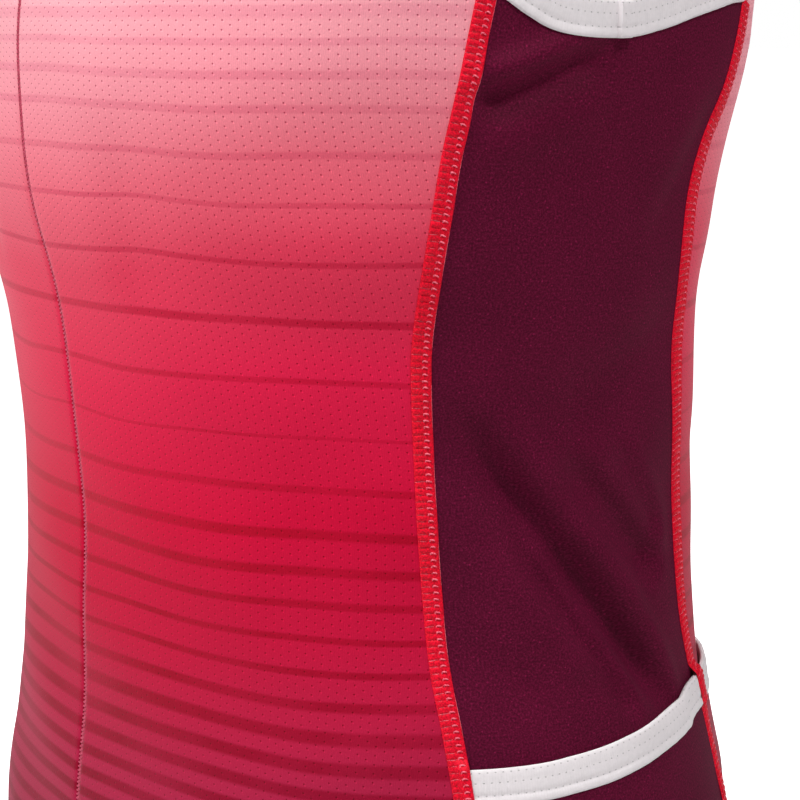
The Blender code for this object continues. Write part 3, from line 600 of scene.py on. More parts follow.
def carried(rings, closed, uv):
    """Points, faces and UVs of a closed profile carried along a path, capped or closed to a ring. The UV table
    has one more column than the profile has points, and one more row on a closed ring."""
    length, around = rings.shape[:2]
    quads, rows, columns = quads_of(length, around, closed, True)
    faces, uvs = [quads], [uv[rows, columns]]
    if not closed:
        ends = np.stack([np.arange(around), (length - 1) * around + np.arange(around)[::-1]])
        faces.append(ends)
        uvs.append(np.stack([uv[0, :-1], uv[-1, :-1][::-1]]))
    return rings.reshape(-1, 3), faces, uvs


def tubes(centres, outward, radius, sides):
    """Points and faces of many short threads: a ring of points round each centre, in the plane of the outward
    direction and the one square to it and to the thread. Radius is one for each centre."""
    count, length = centres.shape[:2]
    ahead = np.concatenate([centres[:, 1:], centres[:, -1:]], axis=1)
    behind = np.concatenate([centres[:, :1], centres[:, :-1]], axis=1)
    beside = unit(np.cross(ahead - behind, outward))
    turn = np.arange(sides) / sides * 2 * np.pi
    spokes = beside[:, :, None] * np.cos(turn)[:, None] + outward[:, :, None] * np.sin(turn)[:, None]
    points = centres[:, :, None] + spokes * radius[..., None, None]
    quads, _, _ = quads_of(length, sides, False, True)
    first = np.arange(count)[:, None, None] * length * sides
    ends = np.stack([np.arange(sides)[::-1], (length - 1) * sides + np.arange(sides)])
    faces = [(quads + first).reshape(-1, 4), (ends + first).reshape(-1, sides)]
    return points.reshape(-1, 3), faces


def line_on_body(rows, angles, closed=False):
    """A line on the body by its own length, with how its rows and angles change for a metre to its left"""
    points = body(rows, angles)
    run = np.concatenate([[0], np.cumsum(np.linalg.norm(np.diff(points, axis=0), axis=1))])
    if closed:
        ahead = np.concatenate([points[1:], points[1:2]])
        behind = np.concatenate([points[-2:-1], points[:-1]])
    else:
        ahead = np.concatenate([points[1:], points[-1:]])
        behind = np.concatenate([points[:1], points[:-1]])
    by_row, by_angle = slopes(rows, angles)
    outward = unit(np.cross(by_angle, by_row))
    aside = unit(np.cross(outward, ahead - behind))
    rr, aa = np.sum(by_row * by_row, -1), np.sum(by_angle * by_angle, -1)
    ra = np.sum(by_row * by_angle, -1)
    r, a = np.sum(by_row * aside, -1), np.sum(by_angle * aside, -1)
    area = rr * aa - ra * ra
    return {"run": run, "row": rows, "angle": angles,
            "row_aside": (r * aa - a * ra) / area, "angle_aside": (a * rr - r * ra) / area}


def beside(line, run, aside):
    """Rows and angles of places along a line, a distance to its left"""
    row, angle, row_aside, angle_aside = (
        np.interp(run, line["run"], line[key]) for key in ("row", "angle", "row_aside", "angle_aside"))
    return row + aside * row_aside, angle + aside * angle_aside


# Materials

def linear(code):
    """Linear red, green, blue and alpha of an sRGB hex colour"""
    parts = [int(code[i:i + 2], 16) / 255 for i in (1, 3, 5)]
    return (*[part / 12.92 if part <= 0.04045 else ((part + 0.055) / 1.055) ** 2.4 for part in parts], 1.0)


def feed(tree, node, inputs):
    """Set and link a node's inputs, by name or in their order: one given as a node takes that node's first
    output, one given as a socket takes that socket"""
    for key, value in inputs.items() if isinstance(inputs, dict) else enumerate(inputs):
        if isinstance(value, bpy.types.Node):
            value = value.outputs[0]
        if isinstance(value, bpy.types.NodeSocket):
            tree.links.new(value, node.inputs[key])
        else:
            node.inputs[key].default_value = value


def add(tree, kind, inputs=(), **settings):
    """A shader node with its settings, its values and its links"""
    made = tree.nodes.new("ShaderNode" + kind)
    for key, value in settings.items():
        setattr(made, key, value)
    feed(tree, made, inputs)
    return made


def new_material(name):
    material = bpy.data.materials.new(name)
    material.use_nodes = True
    return material, material.node_tree, material.node_tree.nodes["Principled BSDF"]


def set_ramp(ramp, stops):
    """Fill a colour ramp with stops of position and sRGB hex colour"""
    band = ramp.color_ramp
    while len(band.elements) < len(stops):
        band.elements.new(0.5)
    for element, (position, code) in zip(band.elements, stops):
        element.position = position
        element.color = linear(code)


def set_curve(curve_node, points):
    """Draw a float curve through points whose coordinates lie between 0 and 1"""
    curve = curve_node.mapping.curves[0]
    while len(curve.points) < len(points):
        curve.points.new(0.5, 0.5)
    for point, place in zip(curve.points, points):
        point.location = place
        point.handle_type = "AUTO"
    curve_node.mapping.update()


# The printed cloth: heights in millimetres, and the dye at each. The print is between PRINT_FOOT and PRINT_TOP.
PRINT_FOOT = -620.0
PRINT_TOP = 140.0
DYES = (
    (-620, "#5a0f2c"), (-520, "#80183a"), (-430, "#aa1e42"), (-385, "#ba1038"), (-345, "#c60836"), (-300, "#d81c46"),
    (-262, "#dc3a56"), (-236, "#e66678"), (-205, "#f094a0"), (-140, "#f5bec4"), (140, "#fae0e4"),
)

# Stripes are numbered from the top of the photographed part: height of a stripe in millimetres and its number,
# then height and half the stripe's share of the spacing, and height and how much it darkens the dye
STRIPE_NUMBERS = ((-620, 41.0), (-540, 32.5), (-480, 25.4), (-432, 19.0), (-404.5, 16.0), (-374, 13.0), (-352, 11.0),
                  (-322, 9.0), (-286, 7.0), (-249.8, 5.0), (-235, 4.0), (-221, 3.0), (-211, 2.0),
                  (-201.3, 1.0), (-192.3, 0.0))
STRIPE_COUNT = 45.0
STRIPE_HALF_SHARES = ((-620, 0.24), (-450, 0.25), (-416, 0.25), (-405, 0.18), (-394, 0.12), (-380, 0.11),
                      (-364, 0.16), (-350, 0.13), (-338, 0.085), (-322, 0.035), (-305, 0.055), (-286, 0.075),
                      (-262, 0.05), (-249, 0.055), (-235, 0.085), (-221, 0.12), (-210, 0.16), (-192, 0.16))
STRIPE_DARKENING = ((-620, 0.78), (-430, 0.80), (-395, 0.70), (-360, 0.66), (-322, 0.45), (-286, 0.60),
                    (-268, 0.50), (-250, 0.36), (-235, 0.27), (-221, 0.23), (-208, 0.21), (-192, 0.17))
# Shares by which a printed stripe and the painted shade of a pin-hole take away red, green and blue, which keeps the
# dark dye saturated
STRIPE_TAKES = (-0.40, -1.0, -0.72)
HOLE_SHADE_TAKES = (-0.52, -0.88, -0.76)

# Spacing of the pin-holes in each lattice and of the stripes above the counted ones, in millimetres
HOLES_ACROSS, HOLES_UP = 5.6, 2.8
UPPER_SPACING = 10.0


def print_share(height):
    return (height - PRINT_FOOT) / (PRINT_TOP - PRINT_FOOT)


def knit_print():
    """Warp-knitted polyester, sublimation printed and micro-perforated: matt, with dye that fades from plum to
    pale pink and is drawn lighter beside the zip as a painted sheen, soft darker stripes across it, staggered
    pin-holes darkened with painted shade, each with a painted highlight, a light dot, beside it, and fine
    upright wales"""
    material, tree, shader = new_material("perforated_polyester_knit")
    cloth = add(tree, "UVMap", uv_map="cloth")
    parts = add(tree, "SeparateXYZ", (cloth,))
    u, v = parts.outputs[0], parts.outputs[1]
    # A slow wobble of the print, 2 mm high
    wobble = add(tree, "TexNoise", {"Vector": cloth, "Scale": 0.012, "Detail": 1.0})
    lift = add(tree, "Math", (wobble, -0.5), operation="ADD")
    lifted = add(tree, "Math", (lift, 5.0, v), operation="MULTIPLY_ADD")
    share = add(tree, "MapRange", (lifted, PRINT_FOOT, PRINT_TOP))
    # Painted sheen: beside the zip the dye is drawn as pale as it is up to 14 mm higher at the side
    painted_sheen_near_zip = add(tree, "MapRange", (u, 20.0, 130.0, 14.0, 0.0), interpolation_type="SMOOTHSTEP")
    share_with_sheen = add(tree, "Math", (lifted, painted_sheen_near_zip), operation="ADD")
    share_with_sheen = add(tree, "MapRange", (share_with_sheen, PRINT_FOOT, PRINT_TOP))
    dye = add(tree, "ValToRGB", (share_with_sheen,))
    set_ramp(dye, [(print_share(height), code) for height, code in DYES])
    number = add(tree, "FloatCurve", {1: share})
    set_curve(number, [(print_share(height), value / STRIPE_COUNT) for height, value in STRIPE_NUMBERS]
              + [(print_share(-120), 0.0), (1.0, 0.0)])
    counted = add(tree, "Math", (number, STRIPE_COUNT), operation="MULTIPLY")
    # Above the counted stripes they go on evenly
    above = add(tree, "Math", (lifted, -STRIPE_NUMBERS[-1][0]), operation="ADD")
    above = add(tree, "Math", (above, 0.0), operation="MAXIMUM")
    above = add(tree, "Math", (above, 1 / UPPER_SPACING), operation="MULTIPLY")
    counted = add(tree, "Math", (counted, above), operation="SUBTRACT")
    near = add(tree, "Math", (counted, 0.5), operation="PINGPONG")
    half = add(tree, "FloatCurve", {1: share})
    set_curve(half, [(print_share(height), value) for height, value in STRIPE_HALF_SHARES] + [(1.0, 0.14)])
    inner = add(tree, "Math", (half, 0.55), operation="MULTIPLY")
    outer = add(tree, "Math", (half, 1.25), operation="MULTIPLY")
    stripe = add(tree, "MapRange", (near, inner, outer, 1.0, 0.0), interpolation_type="SMOOTHSTEP")
    strength = add(tree, "FloatCurve", {1: share})
    set_curve(strength, [(print_share(height), value) for height, value in STRIPE_DARKENING] + [(1.0, 0.06)])
    patchy = add(tree, "TexNoise", {"Vector": cloth, "Scale": 0.03, "Detail": 2.0})
    patchy = add(tree, "MapRange", (patchy, 0.3, 0.7, 0.7, 1.15))
    darker = add(tree, "Math", (stripe, strength), operation="MULTIPLY")
    darker = add(tree, "Math", (darker, patchy), operation="MULTIPLY")
    # Pin-holes in two lattices, one set between the other, each hole darkened with painted shade and with a painted
    # highlight, a light dot at its lower right
    distances, highlight_distances = [], []
    for shift in ((0.0, 0.0, 0.0), (0.5, 0.5, 0.0)):
        cell = add(tree, "VectorMath", (cloth, (1 / HOLES_ACROSS, 1 / HOLES_UP, 0.0), shift),
                   operation="MULTIPLY_ADD")
        cell = add(tree, "VectorMath", (cell,), operation="FRACTION")
        cell = add(tree, "VectorMath", (cell, (0.5, 0.5, 0.0)), operation="SUBTRACT")
        cell = add(tree, "VectorMath", (cell, (HOLES_ACROSS, HOLES_UP, 0.0)), operation="MULTIPLY")
        distances.append(add(tree, "VectorMath", (cell,), operation="LENGTH").outputs["Value"])
        cell = add(tree, "VectorMath", (cell, (0.42, -0.40, 0.0)), operation="SUBTRACT")
        highlight_distances.append(add(tree, "VectorMath", (cell,), operation="LENGTH").outputs["Value"])
    away = add(tree, "Math", (distances[0], distances[1]), operation="MINIMUM")
    hole = add(tree, "MapRange", (away, 0.12, 0.36, 1.0, 0.0), interpolation_type="SMOOTHSTEP")
    painted_highlight = add(tree, "Math", (highlight_distances[0], highlight_distances[1]), operation="MINIMUM")
    painted_highlight = add(tree, "MapRange", (painted_highlight, 0.10, 0.38, 0.30, 0.0), interpolation_type="SMOOTHSTEP")
    # Wales, drawn 0.65 mm apart where the real ones are 0.3 mm, so that they show
    wales = add(tree, "Math", (u, 2 * math.pi / 0.65), operation="MULTIPLY")
    wales = add(tree, "Math", (wales,), operation="SINE")
    fuzz = add(tree, "TexNoise", {"Vector": cloth, "Scale": 1.6, "Detail": 2.0})
    # The light dot beside each hole is a painted highlight, added to the wales and the fuzz
    grain_and_highlight = add(tree, "Math", (wales, 0.022, painted_highlight), operation="MULTIPLY_ADD")
    fuzz_level = add(tree, "MapRange", (fuzz, 0.25, 0.75, 0.94, 1.06))
    grain_and_highlight = add(tree, "Math", (grain_and_highlight, fuzz_level), operation="ADD")
    colour = add(tree, "VectorMath", {0: dye, "Scale": grain_and_highlight}, operation="SCALE")
    # Printed stripes darken the dye, and pin-holes darken it with painted shade
    for takes, amount in ((STRIPE_TAKES, darker), (HOLE_SHADE_TAKES, hole)):
        taken = add(tree, "VectorMath", {0: takes, "Scale": amount}, operation="SCALE")
        taken = add(tree, "VectorMath", (taken, (1.0, 1.0, 1.0)), operation="ADD")
        colour = add(tree, "VectorMath", (colour, taken), operation="MULTIPLY")
    high = add(tree, "Math", (wales, 0.2, fuzz), operation="MULTIPLY_ADD")
    high = add(tree, "Math", (hole, -2.5, high), operation="MULTIPLY_ADD")
    bump = add(tree, "Bump", {"Strength": 0.35, "Distance": 0.00012, "Height": high})
    feed(tree, shader, {"Base Color": colour, "Normal": bump, "Roughness": 0.85, "Specular IOR Level": 0.04,
                        "Sheen Weight": 0.28, "Sheen Roughness": 0.4, "Sheen Tint": linear("#ffd8de")})
    return material


def side_tricot():
    """Nylon tricot, piece-dyed burgundy and heat-set: smooth, with a low sheen, fine light and dark specks, and
    light points painted in as glints where filaments catch the light"""
    material, tree, shader = new_material("nylon_tricot")
    cloth = add(tree, "UVMap", uv_map="cloth")
    specks = add(tree, "TexNoise", {"Vector": cloth, "Scale": 1.5, "Detail": 3.0, "Roughness": 0.65})
    patches = add(tree, "TexNoise", {"Vector": cloth, "Scale": 0.04, "Detail": 2.0})
    dye = add(tree, "ValToRGB", (specks,))
    set_ramp(dye, [(0.32, "#40081f"), (0.5, "#570c29"), (0.68, "#701439")])
    # Light points: painted glints where filaments catch the light
    glint_cells = add(tree, "TexVoronoi", {"Vector": cloth, "Scale": 0.55, "Randomness": 1.0})
    painted_glint = add(tree, "MapRange", (glint_cells.outputs["Distance"], 0.06, 0.20, 0.9, 0.0))
    level = add(tree, "MapRange", (patches, 0.3, 0.7, 0.93, 1.07))
    level = add(tree, "Math", (level, painted_glint), operation="ADD")
    colour = add(tree, "VectorMath", {0: dye, "Scale": level}, operation="SCALE")
    bump = add(tree, "Bump", {"Strength": 0.3, "Distance": 0.00008, "Height": specks})
    feed(tree, shader, {"Base Color": colour, "Normal": bump, "Roughness": 0.62, "Specular IOR Level": 0.05,
                        "Sheen Weight": 0.03, "Sheen Roughness": 0.4, "Sheen Tint": linear("#c08098")})
    return material


def white_elastic():
    """Polyamide fold-over elastic, woven soft and sewn with needles: white, matt, faintly ribbed across, with
    three rows of pin-pricks where the needles went in, darkened with painted shade"""
    material, tree, shader = new_material("woven_fold_over_elastic")
    cloth = add(tree, "UVMap", uv_map="cloth")
    parts = add(tree, "SeparateXYZ", (cloth,))
    along, across = parts.outputs[0], parts.outputs[1]
    prick_masks = []
    for row, shift in ((9.9, 0.0), (6.7, 0.5), (2.7, 0.2)):
        s = add(tree, "Math", (along, 1 / 2.5, shift), operation="MULTIPLY_ADD")
        s = add(tree, "Math", (s, 0.5), operation="PINGPONG")
        s = add(tree, "Math", (s, 2.5), operation="MULTIPLY")
        t = add(tree, "Math", (across, row), operation="SUBTRACT")
        t = add(tree, "Math", (t, 1.4), operation="MULTIPLY")
        place = add(tree, "CombineXYZ", (s, t))
        away = add(tree, "VectorMath", (place,), operation="LENGTH")
        prick_masks.append(add(tree, "MapRange", (away.outputs["Value"], 0.16, 0.42, 1.0, 0.0),
                         interpolation_type="SMOOTHSTEP"))
    shaded_prick = add(tree, "Math", (prick_masks[0], prick_masks[1]), operation="MAXIMUM")
    shaded_prick = add(tree, "Math", (shaded_prick, prick_masks[2]), operation="MAXIMUM")
    soft = add(tree, "TexNoise", {"Vector": cloth, "Scale": 0.7, "Detail": 3.0})
    ribs = add(tree, "Math", (along, 2 * math.pi / 0.9), operation="MULTIPLY")
    ribs = add(tree, "Math", (ribs,), operation="SINE")
    level = add(tree, "MapRange", (soft, 0.3, 0.7, 0.96, 1.02))
    # The pin-pricks darken the white: painted shade in them
    level = add(tree, "Math", (shaded_prick, -0.33, level), operation="MULTIPLY_ADD")
    white = add(tree, "RGB")
    white.outputs[0].default_value = linear("#e8e1e3")
    colour = add(tree, "VectorMath", {0: white, "Scale": level}, operation="SCALE")
    high = add(tree, "Math", (ribs, 0.15, soft), operation="MULTIPLY_ADD")
    high = add(tree, "Math", (shaded_prick, -2.2, high), operation="MULTIPLY_ADD")
    bump = add(tree, "Bump", {"Strength": 0.45, "Distance": 0.00015, "Height": high})
    feed(tree, shader, {"Base Color": colour, "Normal": bump, "Roughness": 0.75, "Specular IOR Level": 0.2})
    return material


def thread(name, dark, bright):
    """Textured polyester thread, spun and loosely wound: satin, with a mottle of its own filaments"""
    material, tree, shader = new_material(name)
    place = add(tree, "TexCoord")
    strands = add(tree, "TexNoise", {"Vector": place.outputs["Object"], "Scale": 1800.0, "Detail": 2.0})
    dye = add(tree, "ValToRGB", (strands,))
    set_ramp(dye, [(0.30, dark), (0.65, bright)])
    bump = add(tree, "Bump", {"Strength": 0.5, "Distance": 0.0001, "Height": strands})
    feed(tree, shader, {"Base Color": dye, "Normal": bump, "Roughness": 0.55, "Specular IOR Level": 0.15})
    return material


def woven_tape():
    """Polyester zip tape, woven in a fine twill and dyed pink"""
    material, tree, shader = new_material("woven_zip_tape")
    place = add(tree, "TexCoord")
    weave = add(tree, "TexWave", {"Vector": place.outputs["Object"], "Scale": 260.0, "Distortion": 0.6},
                bands_direction="DIAGONAL")
    dye = add(tree, "ValToRGB", (weave,))
    set_ramp(dye, [(0.2, "#c9566e"), (0.8, "#df7f92")])
    bump = add(tree, "Bump", {"Strength": 0.4, "Distance": 0.0001, "Height": weave.outputs["Fac"]})
    feed(tree, shader, {"Base Color": dye, "Normal": bump, "Roughness": 0.7})
    return material


def moulded_coil():
    """Nylon monofilament coil, drawn and heat-set: smooth, faintly clear, the tape's colour"""
    material, tree, shader = new_material("nylon_coil")
    place = add(tree, "TexCoord")
    cloud = add(tree, "TexNoise", {"Vector": place.outputs["Object"], "Scale": 400.0})
    dye = add(tree, "ValToRGB", (cloud,))
    set_ramp(dye, [(0.3, "#b83654"), (0.7, "#cc4c68")])
    feed(tree, shader, {"Base Color": dye, "Roughness": 0.35})
    return material


def enamelled_zinc():
    """Die-cast zinc, spray-enamelled plum and baked: satin, with a faint orange peel"""
    material, tree, shader = new_material("enamelled_zinc")
    place = add(tree, "TexCoord")
    peel = add(tree, "TexNoise", {"Vector": place.outputs["Object"], "Scale": 900.0, "Detail": 2.0})
    dye = add(tree, "ValToRGB", (peel,))
    set_ramp(dye, [(0.3, "#4a1230"), (0.7, "#5a1a3a")])
    bump = add(tree, "Bump", {"Strength": 0.15, "Distance": 0.00005, "Height": peel})
    feed(tree, shader, {"Base Color": dye, "Normal": bump, "Metallic": 0.3, "Roughness": 0.38,
                        "Coat Weight": 0.4})
    return material


KNIT = knit_print()
TRICOT = side_tricot()
ELASTIC = white_elastic()
RED_THREAD = thread("red_polyester_thread", "#b4001c", "#f4062e")
PINK_THREAD = thread("pink_polyester_thread", "#d8405a", "#f47f90")
TAPE = woven_tape()
COIL = moulded_coil()
ENAMEL = enamelled_zinc()


def settle(item, nodes=()):
    """Give a piece its body and the solids that it stands for"""
    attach(item, "garment")
    if nodes:
        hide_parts(*nodes)
    return item


CLOTHS = {"knit_print": KNIT, "side_tricot": TRICOT, "white_elastic": ELASTIC, "zip_tape": TAPE}


def lay(node, built, slot, flat, **area):
    """Add the cloth of a solid and hide that solid; flat, the flat size of its sheet, and area are not used"""
    item = add_piece(f"{node}_cloth", *built, CLOTHS[slot])
    settle(item, [node])


# Cloth pieces

FRONT_GRID = (66, 134, 74)
BACK_GRID = (52, 134, 78)
SIDE_GRID = (62, 170)
POCKET_ROWS = 46


def hem_faces(row_count):
    """How far the outer face of each row stands out, which rounds the edge of the hem"""
    outer = np.zeros(row_count)
    outer[:len(HEM_ROUNDING)] = HEM_ROUNDING
    return outer[:, None]


def wall_of(levels, hem):
    """Wall thickness by the height above the hem"""
    return mix(HEM_WALL, CLOTH, smoothstep((levels - hem - HEM_DEPTH) / HEM_STEP))


def panel_faces(places, mirrored, edge=0.0):
    """Outer and inner points of a panel that reaches the hem"""
    rows, angles = places
    levels = section("level", rows)
    out = np.broadcast_to(hem_faces(len(rows)), rows.shape) + edge
    inside = -wall_of(levels, levels[0])
    inside[:len(HEM_ROUNDING)] -= hem_faces(len(rows))[:len(HEM_ROUNDING)]
    return skin(rows, angles, out, mirrored), skin(rows, angles, inside, mirrored)


def make_fronts():
    places = front_places(*FRONT_GRID)
    uv = np.stack([read_table(AROUND, *places), read_table(HEIGHT, *places)], axis=-1)
    rounding = np.zeros(places[0].shape)
    rounding[:, :len(ZIP_ROUNDING)] = ZIP_ROUNDING
    for suffix, mirrored in HANDS:
        outer, inner = panel_faces(places, mirrored, rounding)
        lay(f"front_{suffix}", panel_shell(outer, inner, uv), "knit_print", (0.215, 0.605), area=0.0850)


def side_uv(rows, angles):
    """UVs of a piece on the side: the way from the middle of the side, and the height"""
    u = read_table(AROUND, rows, angles) - read_table(AROUND, rows, np.zeros(rows.shape))
    return np.stack([u, read_table(HEIGHT, rows, angles)], axis=-1)


def make_sides():
    places = side_places(*SIDE_GRID)
    uv = side_uv(*places)
    for suffix, mirrored in HANDS:
        outer, inner = panel_faces(places, mirrored)
        lay(f"side_{suffix}", panel_shell(outer, inner, uv), "side_tricot", (0.165, 0.385), area=0.0450)


def back_uv(rows, angles):
    """UVs of the left half of a piece on the back: the way from the centre back, and the height"""
    u = read_table(AROUND, rows, np.full(rows.shape, 90.0)) - read_table(AROUND, rows, angles)
    return np.stack([u, read_table(HEIGHT, rows, angles)], axis=-1)


def make_back():
    places = back_places(*BACK_GRID)
    built = halves_shell(panel_faces(places, False), panel_faces(places, True), back_uv(*places))
    lay("back", built, "knit_print", (0.345, 0.600), area=0.1650)


def make_pockets():
    places = pocket_side_places(SIDE_GRID[0], POCKET_ROWS)
    rows, angles = places
    uv = side_uv(*places)
    for suffix, mirrored in HANDS:
        outer, inner = (skin(rows, angles, out, mirrored, POCKET_SPANS) for out in (SEAM_GAP + CLOTH, SEAM_GAP))
        built = panel_shell(outer, inner, uv)
        lay(f"pocket_side_{suffix}", built, "side_tricot", (0.130, 0.135), area=0.0155)
    places = pocket_back_places(BACK_GRID[0], POCKET_ROWS)
    rows, angles = places
    gap = back_pocket_gap(np.linspace(0, 1, BACK_GRID[0] + 1), np.linspace(0, 1, POCKET_ROWS + 1)[:, None])
    left, right = ([skin(rows, angles, gap + out, mirrored, POCKET_SPANS) for out in (CLOTH, 0.0)]
                   for mirrored in (False, True))
    lay("pocket_back", halves_shell(left, right, back_uv(*places)), "knit_print", (0.330, 0.160), area=0.0450)


# Sections of the folded elastics: distance past the stitch line and distance out, in millimetres. The first
# points are the rolled edge that covers the panel's edge, then comes a groove along the inner needle line.
BINDING_PROFILE = np.array([
    (0.30, 0.04), (-0.35, 0.10), (-0.52, 0.38), (-0.25, 0.74), (0.45, 0.92), (1.40, 0.90), (2.15, 0.72),
    (2.70, 0.60), (3.20, 0.74), (4.20, 0.84), (5.60, 0.88), (6.70, 0.80), (7.80, 0.88), (9.00, 0.86), (9.90, 0.76),
    (10.60, 0.66), (10.95, 0.25), (11.00, -0.45), (10.80, -1.20), (10.20, -1.62), (8.00, -1.70), (5.00, -1.70),
    (2.00, -1.66), (0.55, -1.50), (0.40, -0.60),
]) / MILLIMETRE
POCKET_BINDING_PROFILE = np.array([
    (0.20, 1.20), (-0.35, 1.40), (-0.50, 1.72), (-0.20, 2.08), (0.50, 2.26), (1.40, 2.24), (2.15, 2.08),
    (2.70, 1.82), (3.20, 2.02), (4.20, 2.18), (5.60, 2.24), (6.70, 2.16), (7.80, 2.24), (9.00, 2.22), (9.90, 2.12),
    (10.60, 2.00), (10.95, 1.60), (11.00, 1.10), (10.80, 0.62), (10.20, 0.36), (8.00, 0.30), (5.00, 0.30),
    (2.00, 0.30), (0.60, 0.36), (0.30, 0.70),
]) / MILLIMETRE
BINDING_SPACING = 0.0010

# The overlap where an armhole binding is joined under the arm: its angle round the body in degrees, its length,
# how far it stands out, and the places of the rings that keep its edges sharp
JOIN_ANGLE = 1.5
JOIN_LENGTH = 0.0052
JOIN_RISE = 0.0015
JOIN_EDGES = JOIN_LENGTH / 2 + np.array([-0.00025, 0.0, 0.00025])


def binding_rings(line, profile, mirrored, extra=0.0, join_at=None, spanned=1.0):
    """Points of a folded elastic, its profile carried along a line with a slight uneven gather, and its UVs:
    millimetres along, and millimetres past the stitch line"""
    length = line["run"][-1]
    count = int(length / BINDING_SPACING)
    runs = np.linspace(0, length, count + 1)
    if join_at is not None:
        runs = np.sort(np.concatenate([runs, join_at + JOIN_EDGES, join_at - JOIN_EDGES]))
    aside, out = profile[:, 0], profile[:, 1]
    s = runs[:, None] * MILLIMETRE
    face = smoothstep((out - out.min()) / (out.max() - out.min()))
    gather = 0.07 * np.sin(s * 2 * np.pi / 5.1 + 2 * np.sin(s / 9))
    gather = gather + 0.08 * np.sin(s / 3.3 + 1) * np.sin(s / 17) ** 2
    out = out + gather / MILLIMETRE * face + extra
    if join_at is not None:
        near = np.abs(runs[:, None] - join_at)
        out = out + JOIN_RISE * face * smoothstep((JOIN_LENGTH / 2 - near) / 0.0005 + 0.5)
    rows, angles = beside(line, runs[:, None], aside)
    uv_across = np.concatenate([aside, aside[:1]]) * MILLIMETRE
    uv = np.stack(np.broadcast_arrays(s, uv_across), axis=-1)
    return skin(rows, angles, out, mirrored, spanned), uv


def make_armhole_bindings():
    front, under, back = armhole_lines()
    rows = np.concatenate([front[0], under[0], back[0]])
    angles = np.concatenate([front[1], under[1], back[1]])
    line = line_on_body(rows, angles, True)
    at = np.argmin(np.abs(angles - JOIN_ANGLE))
    for suffix, mirrored in HANDS:
        rings, uv = binding_rings(line, BINDING_PROFILE, mirrored, join_at=line["run"][at])
        lay(f"binding_armhole_{suffix}", carried(rings[:-1], True, uv), "white_elastic", (0.0125, 0.590))


def joined_halves(line, profile, extra=0.0, spanned=1.0):
    """Rings of a binding that crosses the centre back, from its left front end to its right front end"""
    left, uv = binding_rings(line, profile, False, extra, spanned=spanned)
    right, _ = binding_rings(line, profile, True, extra, spanned=spanned)
    middle = uv[-1, 0, 0]
    right_uv = uv[-2::-1] * (-1, 1) + (2 * middle, 0)
    return np.concatenate([left, right[-2::-1]]), np.concatenate([uv, right_uv])


def make_neck_binding():
    front = neck_line(NECK_DROP_FRONT, False)
    back = neck_line(NECK_DROP_BACK, True)
    line = line_on_body(np.concatenate([front[0], back[0][::-1]]), np.concatenate([front[1], back[1][::-1]]))
    rings, uv = joined_halves(line, BINDING_PROFILE)
    lay("binding_neck", carried(rings, False, uv), "white_elastic", (0.0125, 0.700))


def mouth_line(start, end):
    """Lower edge of a pocket's binding, from one angle to another"""
    angles = np.linspace(start, end, 300)
    return line_on_body(row_of(mouth_level(angles) - BINDING_WIDTH), angles)


def make_pocket_bindings():
    low_front, low_back = MOUTH[1][1] - BINDING_WIDTH / 2, MOUTH[-2][1] - BINDING_WIDTH / 2
    line = mouth_line(seam_angle("front", low_front), seam_angle("back", low_back))
    for suffix, mirrored in HANDS:
        rings, uv = binding_rings(line, POCKET_BINDING_PROFILE, mirrored, spanned=POCKET_SPANS)
        lay(f"binding_pocket_side_{suffix}", carried(rings, False, uv), "white_elastic", (0.0125, 0.120))
    line = mouth_line(seam_angle("back", low_back), 90.0)
    length = line["run"][-1]
    runs = np.linspace(0, length, int(length / BINDING_SPACING) + 1)[:, None]
    extra = back_pocket_gap(runs / length, 1.0) - SEAM_GAP
    rings, uv = joined_halves(line, POCKET_BINDING_PROFILE, extra, POCKET_SPANS)
    lay("binding_pocket_back", carried(rings, False, uv), "white_elastic", (0.0125, 0.285))


# Flatlock seams

def pocket_rise(level, angle, both):
    """Height that a seam gains where a pocket and its binding are sewn into it"""
    mouth = mouth_level(angle)
    foot = hem_level(angle) + HEM_DEPTH + HEM_STEP
    binding = smoothstep((level - mouth + BINDING_WIDTH + 0.003) / 0.003)
    binding = binding * smoothstep((mouth + 0.004 - level) / 0.0045)
    pocket = smoothstep((mouth - BINDING_WIDTH + 0.002 - level) / 0.003)
    pocket = pocket * smoothstep((level - foot + 0.003) / 0.003)
    return np.maximum(0.0022 * binding, 0.0013 * pocket) * both


